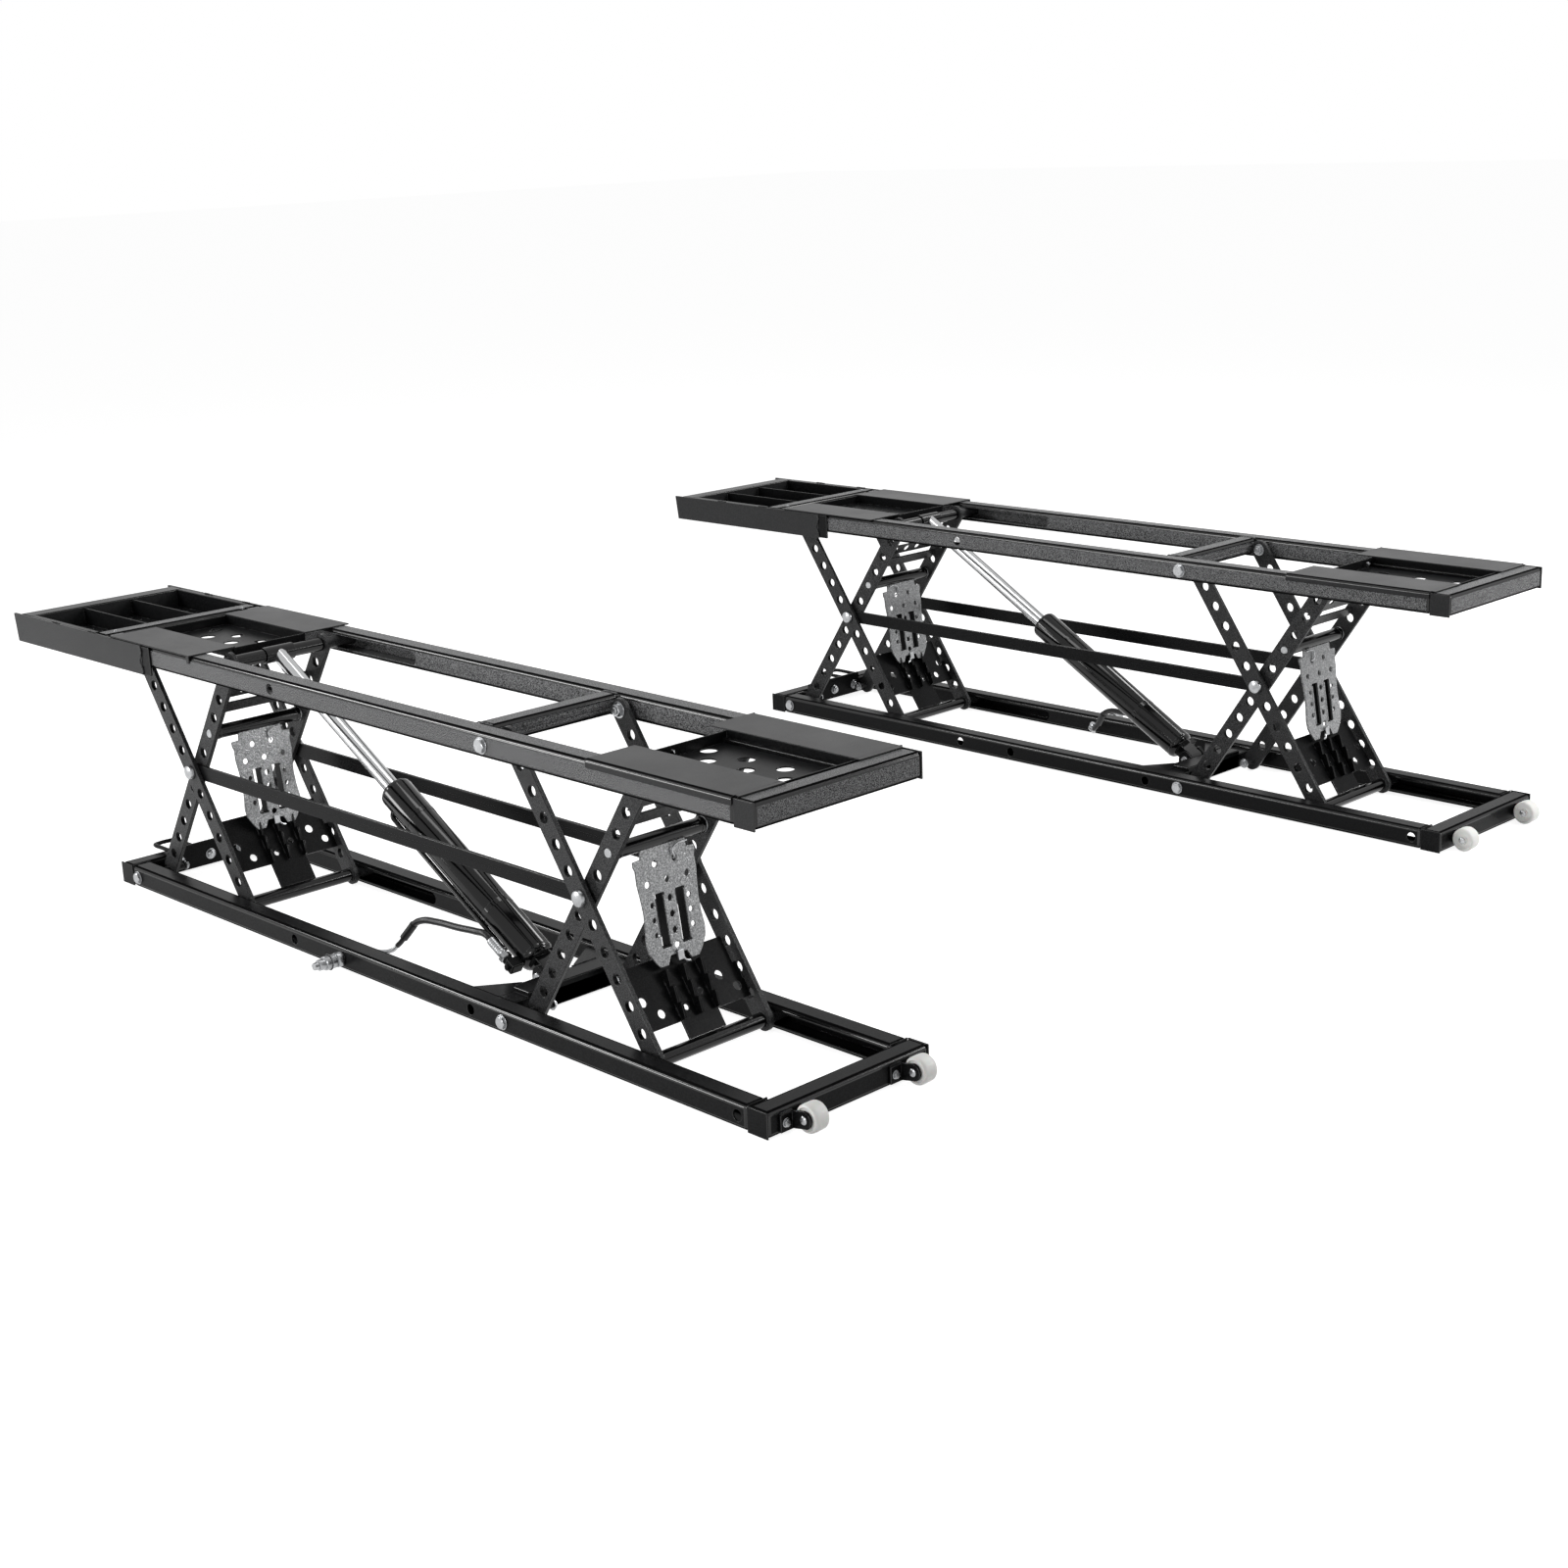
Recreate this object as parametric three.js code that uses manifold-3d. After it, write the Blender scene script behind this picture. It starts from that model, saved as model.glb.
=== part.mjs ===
// Portable vehicle lift: two mirrored scissor runways, raised. Millimetres, with Z up from the floor.
// X runs along a runway from its tray end to its wheel end, and Y runs across it from the near side.
import * as THREE from "three";
import { mergeVertices } from "three/addons/utils/BufferGeometryUtils.js";
import Module from "manifold-3d";

const wasm = await Module();
wasm.setup();

// Clearances, welds and facets
const seatGap = 0.3;
const runningGap = 0.5;
const embed = 1;
const overrun = 6;
const mergeTolerance = 1e-4;
const cylinderSides = 14;
const roundSides = 8;
const hexSides = 6;
const holeSides = 6;
const hoseSides = 8;
const arcFacets = 3;

// Frames of a runway
const frameLength = 1784;
const frameWidth = 330;
const deckHeight = 487;
const tubeSize = 40;
const tubeWall = 3;
const capThickness = 0.8;
const runwayPitch = 2026.4;
const runwayShift = 31.5;

// Scissor linkage: pivots, legs and link bars
const pivotInset = 60;
const slotMargin = 6.8;
const raisedAngle = THREE.MathUtils.degToRad(55.87);
const foldAngle = THREE.MathUtils.degToRad(50);
const legWidth = 38;
const legThickness = 8;
const outerLegInset = 50;
const linkBarInset = 58.6;
const linkBarThickness = 6;
const linkBarHeight = 27;
const innerLegInset = 65.2;
const legHoleRadius = 7;
const legHolePitch = 45;
const pivotRadius = 6;
const rollerRadius = 11;
const rollerInset = 5;
const slotSpare = 3;
const boltHeadRadius = 11;
const boltHeadHeight = 6.4;
const centreBoltInset = 41.5;

// Cross bars between the inner legs, back from the upper ends of the legs
const crossBarBack = 135;
const crossBarWidth = 23;
const crossBarOffset = 6.3;
const crossBarThickness = 3.2;
const webThickness = 2.5;
const leftWebBack = 110;
const leftWebWidth = 25;
const leftWebOffset = 17;
const rightWebBack = 85;
const rightWebWidth = 45;
const rightWebOffset = -1.5;
const webHoleRadius = 7;
const webHolePitch = 36;
const webHoleCount = 3;

// Lock ladder between the outer legs, back from their feet, and the tube at their feet
const footTubeRadius = 12;
const ladderTopBack = 145;
const ladderShoulderBack = 100;
const ladderBottomBack = 42;
const ladderThickness = 4;
const ladderTopInset = 66;
const ladderHoleRadius = 9.5;
const ladderTongueHalfWidth = 38;
const ladderHoleShare = 0.418;
const finStartBack = 123.5;
const finEndBack = 43;
const finPitch = 39;
const finThickness = 4;
const finHeight = 18;
const finToothCount = 3;
const finValleyShare = 0.45;

// Lock strut, its sleeve and its shaft
const strutHingeBack = 176;
const strutFootBack = 68.6;
const strutFootRise = 110.7;
const strutShaftRadius = 8;
const strutSleeveRadius = 12.5;
const strutThickness = 4;
const strutOffset = 8;
const strutHalfWidth = 61;
const strutSlotHalfWidth = 8;
const strutSlotCentre = 20.5;
const strutHoleRadius = 5.2;
const strutOutlineShares = [
  [0.03, 0.72], [0.12, 0.75], [0.125, 1], [0.17, 1], [0.2, 0.96], [0.31, 0.97], [0.54, 0.9],
  [0.78, 0.97], [0.91, 0.85], [1, 0.64], [1, 0.38], [0.93, 0.27],
];
const strutSlotShares = [0.43, 0.85];
const strutCentreHoleShares = [0.33, 0.48, 0.61, 0.74, 0.86];
const strutSideHoleShares = [0.33];
const strutSideShare = 0.66;
const strutTopHoleShare = 0.184;
const strutTopSideShare = 0.33;

// Beams, gussets and ears of the base frame
const leftBeamThickness = 4;
const leftBeamInset = 80;
const leftBeamBottom = 4;
const leftBeamTop = 52;
const rightBeamBack = 68;
const rightBeamWidth = 40;
const rightBeamBottom = 2;
const rightBeamLow = 32;
const rightBeamHigh = 40;
const rightBeamHighInset = 76;
const gussetThickness = 4;
const gussetReach = 76;
const gussetDepth = 77;
const gussetPointShares = [0.33, 0.92];
const cylinderPivotBack = 14;
const cylinderPivotZ = 34;
const earRadius = 18;
const earThickness = 8;
const earGap = 1;
const lockHoleRadius = 9;
const midMemberBack = 61;
const midMemberHeight = 32;

// Hydraulic cylinder
const barrelRadius = 29.5;
const barrelStart = 32;
const barrelLengthShare = 0.5477;
const boreRadius = 25;
const boreStart = 62;
const glandLength = 24;
const lugRadius = 12.5;
const lugWidth = 34;
const rodRadius = 14;
const pistonLength = 20;
const eyeRadius = 15;
const eyeWidth = 60;
const pinRadius = 8;
const pinOverhang = 6;
const rodCollarRadius = 12;
const hardTubeRadius = 5;
const hardTubeStart = 90;
const hardTubeBack = 30;
const hardTubeSide = 22.5;

// Hose, its fitting and its quick coupler
const hoseRadius = 6;
const hoseSteps = 15;
const fittingAside = 45;
const fittingBelow = 9;
const fittingBlockStart = 34;
const fittingBlockEnd = 56;
const fittingBlockHalf = 11;
const fittingHexEnd = 74;
const fittingHexRadius = 10.5;
const fittingCrimpEnd = 108;
const fittingCrimpRadius = 8.5;
const couplerX = 742;
const couplerInletInset = 46;
const couplerStemRadius = 9;
const couplerHexRadius = 13;
const couplerHexLength = 12;
const couplerGrooveRadius = 10;
const couplerGrooveLength = 3;
const couplerCollarRadius = 12.5;
const couplerCollarLength = 20;
const couplerNeckRadius = 10;
const couplerNeckLength = 12;
const couplerTipRadius = 7;
const couplerTipLength = 8;

// Trays on the top frame
const coverThickness = 2.5;
const coverOverhang = 3;
const coverInnerEdge = 92;
const pocketDepth = 21;
const rearTrayStart = 66;
const rearTrayBack = 20;
const rearPocketStart = 68;
const rearPocketRim = 4;
const frontTrayLength = 316;
const frontTrayBack = 32;
const frontPocketLength = 270;
const frontPocketRim = 10;
const trayHoleRadius = 12.5;
const trayHolePitchShare = 0.3;
const trayHoleRowPitch = 42;
const frontHoleStartShare = 0.067;
const frontHoleAside = 21;
const rearHoleStartShare = 0.118;
const rearHoleAside = 30;
const trayHoleCount = 3;

// Tray past the left end
const endTrayStart = -309;
const endTrayPlateEnd = 180;
const endTrayPlateThickness = 5;
const endTrayPlateHeight = 54;
const endTrayTaper = 8;
const endBarStart = -290;
const endBarWidth = 40;
const endRimWidth = 12;
const endFloorThickness = 3;
const endFloorDrop = 38;
const endRibThickness = 3;
const endRibCount = 2;
const endRibDrop = 3;

// Transport wheels, their brackets and the pull handle
const wheelRadius = 22.5;
const wheelWidth = 27;
const wheelBevel = 3;
const wheelReach = 27;
const axleRadius = 4;
const axleHeadRadius = 6.5;
const axleHeadHeight = 3;
const bracketThickness = 4;
const bracketArmInset = 44;
const bracketFlangeInset = 22;
const bracketBottom = 4;
const bracketTop = 31;
const bracketArmRadius = 13.5;
const bracketFarInset = 86;
const bracketBoltRadius = 6;
const bracketBoltHeight = 4;
const bracketBoltShare = 0.4;
const handleRadius = 4;
const handleHeight = 47;
const handleReach = 28;
const handleNear = 85;
const handleFar = 131;
const handleSteps = 12;

// Places worked out from the sizes
const middle = frameWidth / 2;
const pivotLow = tubeSize / 2;
const pivotHigh = deckHeight - tubeSize / 2;
const deckBottom = deckHeight - tubeSize;
const rise = pivotHigh - pivotLow;
const legLength = rise / Math.sin(raisedAngle);
const restRun = legLength * Math.cos(raisedAngle);
const loweredRun = legLength * Math.cos(raisedAngle - foldAngle);
const slotStart = restRun - rollerRadius - slotSpare;
const slotEnd = loweredRun + rollerRadius + slotSpare;
const slotHeight = 2 * (rollerRadius + runningGap);
const pivotHoleRadius = pivotRadius + runningGap;
const leftPivot = pivotInset;
const rightPivot = frameLength - tubeSize - slotMargin - slotEnd;
const pivotSpan = rightPivot - leftPivot;
const rightBeamStart = rightPivot - rightBeamBack;
const cylinderPivotX = rightBeamStart - cylinderPivotBack;
const earInset = middle - lugWidth / 2 - earGap - earThickness;
const midMemberStart = rightPivot - midMemberBack;
const fittingY = middle - fittingAside;
const bracketPitch = frameWidth - bracketFlangeInset - bracketFarInset;
const eyeX = leftPivot + restRun;
const cylinderReach = Math.hypot(eyeX - cylinderPivotX, pivotHigh - cylinderPivotZ);
const barrelLength = cylinderReach * barrelLengthShare;
const cylinderAngle = Math.atan2(pivotHigh - cylinderPivotZ, cylinderPivotX - eyeX);
const shaftHalfLength = middle - innerLegInset + runningGap / 2;
const ladderTop = legLength - ladderTopBack;
const ladderShoulder = legLength - ladderShoulderBack;
const ladderBottom = legLength - ladderBottomBack;
const finStart = legLength - finStartBack;
const finEnd = legLength - finEndBack;
const strutHinge = legLength - strutHingeBack;
const strutAside = strutHingeBack * Math.cos(raisedAngle) - strutFootBack;
const strutDrop = strutHinge * Math.sin(raisedAngle) - strutFootRise;
const strutReach = Math.hypot(strutAside, strutDrop);
const strutLean = Math.atan2(strutAside, strutDrop);
const rearTrayEnd = eyeX - rearTrayBack;
const rearPocketEnd = rearTrayEnd - rearPocketRim;
const frontTrayEnd = frameLength - frontTrayBack;
const frontTrayStart = frontTrayEnd - frontTrayLength;
const frontPocketEnd = frontTrayEnd - frontPocketRim;
const frontPocketStart = frontPocketEnd - frontPocketLength;

// Materials
const finish = (color, roughness, metalness) =>
  new THREE.MeshStandardMaterial({ color, roughness, metalness });
const blackCoat = finish(0x17191b, 0.45, 0.2);
const hammeredGrey = finish(0x6e7377, 0.4, 0.6);
const zinc = finish(0xb9bcbe, 0.3, 0.9);
const chrome = finish(0xd8dadc, 0.12, 1);
const whiteNylon = finish(0xeeeeea, 0.5, 0);
const blackRubber = finish(0x111214, 0.7, 0);

// A closed three.js geometry as a solid that can be joined and cut
function solid(geometry) {
  const bare = new THREE.BufferGeometry();
  bare.setAttribute("position", geometry.getAttribute("position"));
  bare.setIndex(geometry.index);
  const merged = mergeVertices(bare, mergeTolerance);
  const vertProperties = merged.attributes.position.array;
  const triVerts = new Uint32Array(merged.index.array);
  return new wasm.Manifold(new wasm.Mesh({ numProp: 3, vertProperties, triVerts }));
}

const join = (...solids) => solids.reduce((whole, next) => whole.add(next));
const cut = (whole, ...cutters) => cutters.reduce((left, cutter) => left.subtract(cutter), whole);

function block(x0, x1, y0, y1, z0, z1) {
  const box = new THREE.BoxGeometry(x1 - x0, y1 - y0, z1 - z0);
  return solid(box.translate((x0 + x1) / 2, (y0 + y1) / 2, (z0 + z1) / 2));
}

// A round or six-sided bar across the runway
function crossPin(x, z, radius, y0, y1, sides = roundSides) {
  const bar = new THREE.CylinderGeometry(radius, radius, y1 - y0, sides);
  return solid(bar.translate(x, (y0 + y1) / 2, z));
}

// A round or six-sided bar along X
function lengthPin(x0, x1, y, z, radius, sides = roundSides) {
  const bar = new THREE.CylinderGeometry(radius, radius, x1 - x0, sides);
  return solid(bar.rotateZ(Math.PI / 2).translate((x0 + x1) / 2, y, z));
}

// A round cutter across the runway whose flats keep the given radius clear
function crossBore(x, z, radius, y0, y1, sides = roundSides) {
  return crossPin(x, z, radius / Math.cos(Math.PI / sides), y0, y1, sides);
}

// A body of revolution: its profile holds pairs of distance along the axis and radius
function turned(profile, sides = roundSides) {
  const points = profile.map(([along, radius]) => new THREE.Vector2(radius, along));
  return new THREE.LatheGeometry(points, sides);
}

// A hole whose flats keep the given radius clear
function hole(u, v, radius, sides = holeSides) {
  const reach = radius / Math.cos(Math.PI / sides);
  const corners = Array.from({ length: sides }, (_, i) => {
    const turn = (2 * Math.PI * (i + 1 / 2)) / sides;
    return new THREE.Vector2(u + reach * Math.cos(turn), v + reach * Math.sin(turn));
  });
  return new THREE.Path(corners);
}

function extruded(shape, holes, depth) {
  shape.holes = holes;
  return new THREE.ExtrudeGeometry(shape, { depth, bevelEnabled: false, curveSegments: arcFacets });
}

// A plate that stands along X and Z, between two places across the runway
function standingPlate(shape, y0, y1, holes = []) {
  return solid(extruded(shape, holes, y1 - y0).rotateX(Math.PI / 2).translate(0, y1, 0));
}

// A plate that lies along X and Y, between two heights
function lyingPlate(shape, z0, z1, holes = []) {
  return solid(extruded(shape, holes, z1 - z0).translate(0, 0, z0));
}

const outline = (points) => new THREE.Shape(points.map(([u, v]) => new THREE.Vector2(u, v)));

const slab = (u0, u1, v0, v1) => outline([[u0, v0], [u1, v0], [u1, v1], [u0, v1]]);

// A bar with round ends, from one end centre to the other along U
function roundedBar(length, radius, u = 0, v = 0) {
  const shape = new THREE.Shape();
  shape.absarc(u, v, radius, Math.PI / 2, (3 * Math.PI) / 2, false);
  shape.absarc(u + length, v, radius, -Math.PI / 2, Math.PI / 2, false);
  return shape;
}

function tubeAlong(points, radius, steps, sides) {
  const curve = new THREE.CatmullRomCurve3(points.map((p) => new THREE.Vector3(...p)), false, "centripetal");
  const ring = new THREE.Shape();
  ring.absarc(0, 0, radius, 0, 2 * Math.PI, false);
  return new THREE.ExtrudeGeometry(ring, { extrudePath: curve, steps, curveSegments: sides / 2 });
}

// The same stretch of width on the near and on the far side
const bothSides = (y0, y1) => [[y0, y1], [frameWidth - y1, frameWidth - y0]];
const onBothSides = (y0, y1, make) => bothSides(y0, y1).map(([from, to]) => make(from, to));

function meshOf(name, made, material) {
  const { vertProperties, triVerts } = made.getMesh();
  const geometry = new THREE.BufferGeometry();
  geometry.setAttribute("position", new THREE.BufferAttribute(vertProperties, 3));
  geometry.setIndex(new THREE.BufferAttribute(triVerts, 1));
  return place(name, geometry, material);
}

function place(name, geometry, material) {
  const mesh = new THREE.Mesh(geometry, material);
  mesh.name = name;
  return mesh;
}

function placed(mesh, x, z, turn) {
  mesh.position.set(x, 0, z);
  mesh.rotation.y = turn;
  return mesh;
}

// Four square tubes welded into a rectangle, hollow all the way round
function tubeFrame(z0) {
  const z1 = z0 + tubeSize;
  const inner = tubeSize - tubeWall;
  const walls = cut(
    block(0, frameLength, 0, frameWidth, z0, z1),
    block(tubeSize, frameLength - tubeSize, tubeSize, frameWidth - tubeSize, z0 - overrun, z1 + overrun),
  );
  const hollow = cut(
    block(tubeWall, frameLength - tubeWall, tubeWall, frameWidth - tubeWall, z0 + tubeWall, z1 - tubeWall),
    block(inner, frameLength - inner, inner, frameWidth - inner, z0, z1),
  );
  return cut(walls, hollow);
}

// What both frames have cut into their side tubes: roller slots, pivot bolt holes and a lock pin hole
function railCuts(z) {
  const slotLength = slotEnd - slotStart - slotHeight;
  const cutters = [];
  for (const pivot of [leftPivot, rightPivot]) {
    const slot = roundedBar(slotLength, slotHeight / 2, pivot + slotStart + slotHeight / 2, z);
    const throughInnerWall = (y0, y1) => standingPlate(slot, y0, y1);
    cutters.push(...onBothSides(tubeSize - tubeWall - embed, tubeSize + overrun, throughInnerWall));
    cutters.push(crossBore(pivot, z, pivotHoleRadius, -overrun, frameWidth + overrun));
    const lockX = pivot + loweredRun;
    const throughOuterWall = (y0, y1) => crossPin(lockX, z, lockHoleRadius, y0, y1, holeSides);
    cutters.push(...onBothSides(-overrun, tubeWall + embed, throughOuterWall));
  }
  return cutters;
}

// Plates that close the ends of a cross tube
const endCaps = (x0, z0) =>
  onBothSides(-capThickness, embed, (y0, y1) => block(x0, x0 + tubeSize, y0, y1, z0, z0 + tubeSize));

function leftBeam() {
  const x0 = tubeSize - embed;
  const x1 = tubeSize + leftBeamThickness;
  const face = block(x0, x1, leftBeamInset, frameWidth - leftBeamInset, leftBeamBottom, leftBeamTop);
  const aboveTube = block(0, tubeSize, 0, frameWidth, tubeSize, leftBeamTop + overrun);
  return cut(face, aboveTube);
}

// A channel across the base, lower where the link bars come down over it
function rightBeam() {
  const x1 = rightBeamStart + rightBeamWidth;
  const tier = (inset, z1, wall) => block(
    rightBeamStart + wall, x1 - wall, inset + wall, frameWidth - inset - wall,
    wall ? rightBeamBottom - overrun : rightBeamBottom, z1 - wall,
  );
  const low = tier(tubeSize - embed, rightBeamLow, 0);
  const high = tier(rightBeamHighInset, rightBeamHigh, 0);
  return cut(
    join(low, high),
    tier(tubeSize, rightBeamLow, tubeWall),
    tier(rightBeamHighInset, rightBeamHigh, tubeWall),
  );
}

function gussets() {
  const [xShare, yShare] = gussetPointShares;
  const x1 = rightBeamStart + embed;
  return [0, 1].map((far) => {
    const across = (y) => (far ? frameWidth - y : y);
    const shape = outline([
      [x1 - gussetReach, across(tubeSize - embed)],
      [x1, across(tubeSize - embed)],
      [x1, across(tubeSize + gussetDepth)],
      [x1 - gussetReach * xShare, across(tubeSize + gussetDepth * yShare)],
    ]);
    return lyingPlate(shape, rightBeamLow - gussetThickness, rightBeamLow);
  });
}

// Two ears that hold the foot of the cylinder
function cylinderEars() {
  const x1 = rightBeamStart + embed;
  const shape = new THREE.Shape();
  shape.moveTo(x1, rightBeamBottom);
  shape.lineTo(x1, rightBeamHigh);
  shape.lineTo(cylinderPivotX, cylinderPivotZ + earRadius);
  shape.absarc(cylinderPivotX, cylinderPivotZ, earRadius, Math.PI / 2, Math.PI, false);
  shape.lineTo(cylinderPivotX - earRadius, rightBeamBottom);
  const pinHole = () => hole(cylinderPivotX, cylinderPivotZ, pinRadius + seatGap, roundSides);
  const ear = (y0, y1) => standingPlate(shape, y0, y1, [pinHole()]);
  return onBothSides(earInset, earInset + earThickness, ear);
}

function baseFrame() {
  const stemSpace = couplerStemRadius + runningGap;
  const couplerHole = crossBore(couplerX, pivotLow, stemSpace, -overrun, tubeSize + overrun);
  const cylinderHoles = onBothSides(-overrun, tubeWall + embed, (y0, y1) =>
    crossPin(cylinderPivotX, pivotLow, lockHoleRadius, y0, y1, holeSides));
  const frame = cut(tubeFrame(0), ...railCuts(pivotLow), couplerHole, ...cylinderHoles);
  const caps = [...endCaps(0, 0), ...endCaps(frameLength - tubeSize, 0)];
  return join(frame, ...caps, leftBeam(), rightBeam(), ...gussets(), ...cylinderEars());
}

// A tube across the top frame whose hollow opens into the side tubes
function topFrame() {
  const x0 = midMemberStart;
  const x1 = midMemberStart + tubeSize;
  const z0 = deckHeight - midMemberHeight;
  const frame = cut(tubeFrame(deckBottom), ...railCuts(pivotHigh));
  const member = block(x0, x1, tubeSize - embed, frameWidth - tubeSize + embed, z0, deckHeight);
  const hollow = block(
    x0 + tubeWall, x1 - tubeWall,
    tubeSize - tubeWall - embed, frameWidth - tubeSize + tubeWall + embed,
    z0 + tubeWall, deckHeight - tubeWall,
  );
  return cut(join(frame, ...endCaps(frameLength - tubeSize, deckBottom), member), hollow);
}

// Cover plates over the side tubes, with a sunken pocket between them
function tray(start, end, pocketStart, pocketEnd, holes) {
  const z0 = deckHeight + seatGap;
  const z1 = z0 + coverThickness;
  const floor = deckHeight - pocketDepth;
  const wall = coverThickness;
  const covers = onBothSides(-coverOverhang, coverInnerEdge, (y0, y1) => block(start, end, y0, y1, z0, z1));
  const sides = onBothSides(coverInnerEdge - wall, coverInnerEdge, (y0, y1) =>
    block(pocketStart, pocketEnd, y0, y1, floor, z1));
  const near = coverInnerEdge - wall;
  const far = frameWidth - near;
  const ends = [pocketStart, pocketEnd - wall].map((x) => block(x, x + wall, near, far, floor, deckHeight));
  const bottom = lyingPlate(slab(pocketStart, pocketEnd, near, far), floor, floor + wall, holes);
  return join(...covers, ...sides, ...ends, bottom);
}

// Two rows of holes in a pocket, the near row half a pitch further along
function trayHoles(pocketStart, pocketEnd, startShare, farRow) {
  const length = pocketEnd - pocketStart;
  return Array.from({ length: 2 * trayHoleCount }, (_, i) => {
    const near = i % 2;
    const x = pocketStart + length * (startShare + (i * trayHolePitchShare) / 2);
    return hole(x, farRow - near * trayHoleRowPitch, trayHoleRadius, roundSides);
  });
}

function endTray() {
  const bottom = deckHeight - endTrayPlateHeight;
  const side = outline([
    [endTrayStart, deckHeight],
    [endTrayStart + endTrayTaper, bottom],
    [endTrayPlateEnd, bottom],
    [endTrayPlateEnd, deckHeight],
  ]);
  const sidePlate = (y0, y1) => standingPlate(side, y0, y1);
  const plates = onBothSides(-seatGap - endTrayPlateThickness, -seatGap, sidePlate);
  const floor = deckHeight - endFloorDrop;
  const rims = onBothSides(-seatGap - embed, endRimWidth, (y0, y1) =>
    block(endBarStart, -seatGap, y0, y1, floor, deckHeight));
  const barEnd = endBarStart + endBarWidth;
  const bar = block(endBarStart, barEnd, -seatGap, frameWidth + seatGap, floor, deckHeight);
  const pan = block(endBarStart, -seatGap, 0, frameWidth, floor, floor + endFloorThickness);
  const bay = (frameWidth - 2 * endRimWidth - endRibCount * endRibThickness) / (endRibCount + 1);
  const ribs = Array.from({ length: endRibCount }, (_, i) => {
    const y0 = endRimWidth + (i + 1) * bay + i * endRibThickness;
    return block(endBarStart + embed, -seatGap, y0, y0 + endRibThickness, floor, deckHeight - endRibDrop);
  });
  return join(pan, bar, ...rims, ...ribs, ...plates);
}

// A pair of scissor legs in their own frame: along the leg from its pivot, and across it
function legs(inset, holeSpots) {
  const shape = roundedBar(legLength, legWidth / 2);
  return onBothSides(inset, inset + legThickness, (y0, y1) =>
    standingPlate(shape, y0, y1, holeSpots.map(([s, radius, sides]) => hole(s, 0, radius, sides))));
}

function lighteningHoles(skipped) {
  const count = Math.round(legLength / legHolePitch) - 1;
  return Array.from({ length: count }, (_, i) => (i + 1) * legHolePitch)
    .filter((s) => skipped.every((taken) => Math.abs(s - taken) > legHolePitch / 2))
    .map((s) => [s, legHoleRadius, holeSides]);
}

// A roller that runs in the slot of a side tube, on either side
const rollers = (legInset) =>
  onBothSides(rollerInset, legInset + embed, (y0, y1) => crossPin(legLength, 0, rollerRadius, y0, y1));

// A pivot bolt through a side tube, with a head unless a tray covers it
function pivotBolts(legInset, hasHead) {
  const headStart = -seatGap - boltHeadHeight;
  const bar = (radius) => (y0, y1) => crossPin(0, 0, radius, y0, y1, hexSides);
  const shanks = onBothSides(hasHead ? headStart : 0, legInset + embed, bar(pivotRadius));
  const heads = hasHead ? onBothSides(headStart, -seatGap, bar(boltHeadRadius)) : [];
  return [...shanks, ...heads];
}

// A flat web between the inner legs, with a row of holes
function web(back, width, offset) {
  const start = legLength - back;
  const end = start + width;
  const y0 = innerLegInset + embed;
  const shape = slab(start, end, y0, frameWidth - y0);
  const holes = Array.from({ length: webHoleCount }, (_, i) => {
    const y = middle + (i - (webHoleCount - 1) / 2) * webHolePitch;
    return hole((start + end) / 2, y, webHoleRadius);
  });
  return lyingPlate(shape, offset, offset + webThickness, holes);
}

function innerLegs(legWeb) {
  const centre = legLength / 2;
  const shaftSpot = [strutHinge, strutShaftRadius + seatGap, roundSides];
  const spots = [...lighteningHoles([centre, strutHinge]), shaftSpot];
  const bar = (radius) => (y0, y1) => crossPin(centre, 0, radius, y0, y1, hexSides);
  const y0 = innerLegInset + embed;
  const s0 = legLength - crossBarBack;
  const z1 = crossBarOffset + crossBarThickness;
  return join(
    ...legs(innerLegInset, spots),
    ...rollers(innerLegInset),
    ...pivotBolts(innerLegInset, true),
    ...onBothSides(centreBoltInset, innerLegInset + embed, bar(pivotRadius)),
    ...onBothSides(centreBoltInset, outerLegInset - runningGap, bar(boltHeadRadius)),
    block(s0, s0 + crossBarWidth, y0, frameWidth - y0, crossBarOffset, z1),
    legWeb,
  );
}

function outerLegs(hasHead) {
  const centre = legLength / 2;
  const spots = [...lighteningHoles([centre]), [centre, pivotHoleRadius, roundSides]];
  const y0 = outerLegInset + embed;
  return join(
    ...legs(outerLegInset, spots),
    ...rollers(outerLegInset),
    ...pivotBolts(outerLegInset, hasHead),
    crossPin(legLength, 0, footTubeRadius, y0, frameWidth - y0),
  );
}

// A toothed fin: each tooth stops the strut on its upper face and slopes down behind it
function finOutline() {
  const pitch = (finEnd - finStart) / finToothCount;
  const points = [[finStart, 0]];
  for (let i = 0; i < finToothCount; i += 1) {
    points.push([finStart + i * pitch, finHeight]);
    points.push([finStart + (i + 1) * pitch, finHeight * finValleyShare]);
  }
  points.push([finEnd, 0]);
  return outline(points);
}

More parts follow.
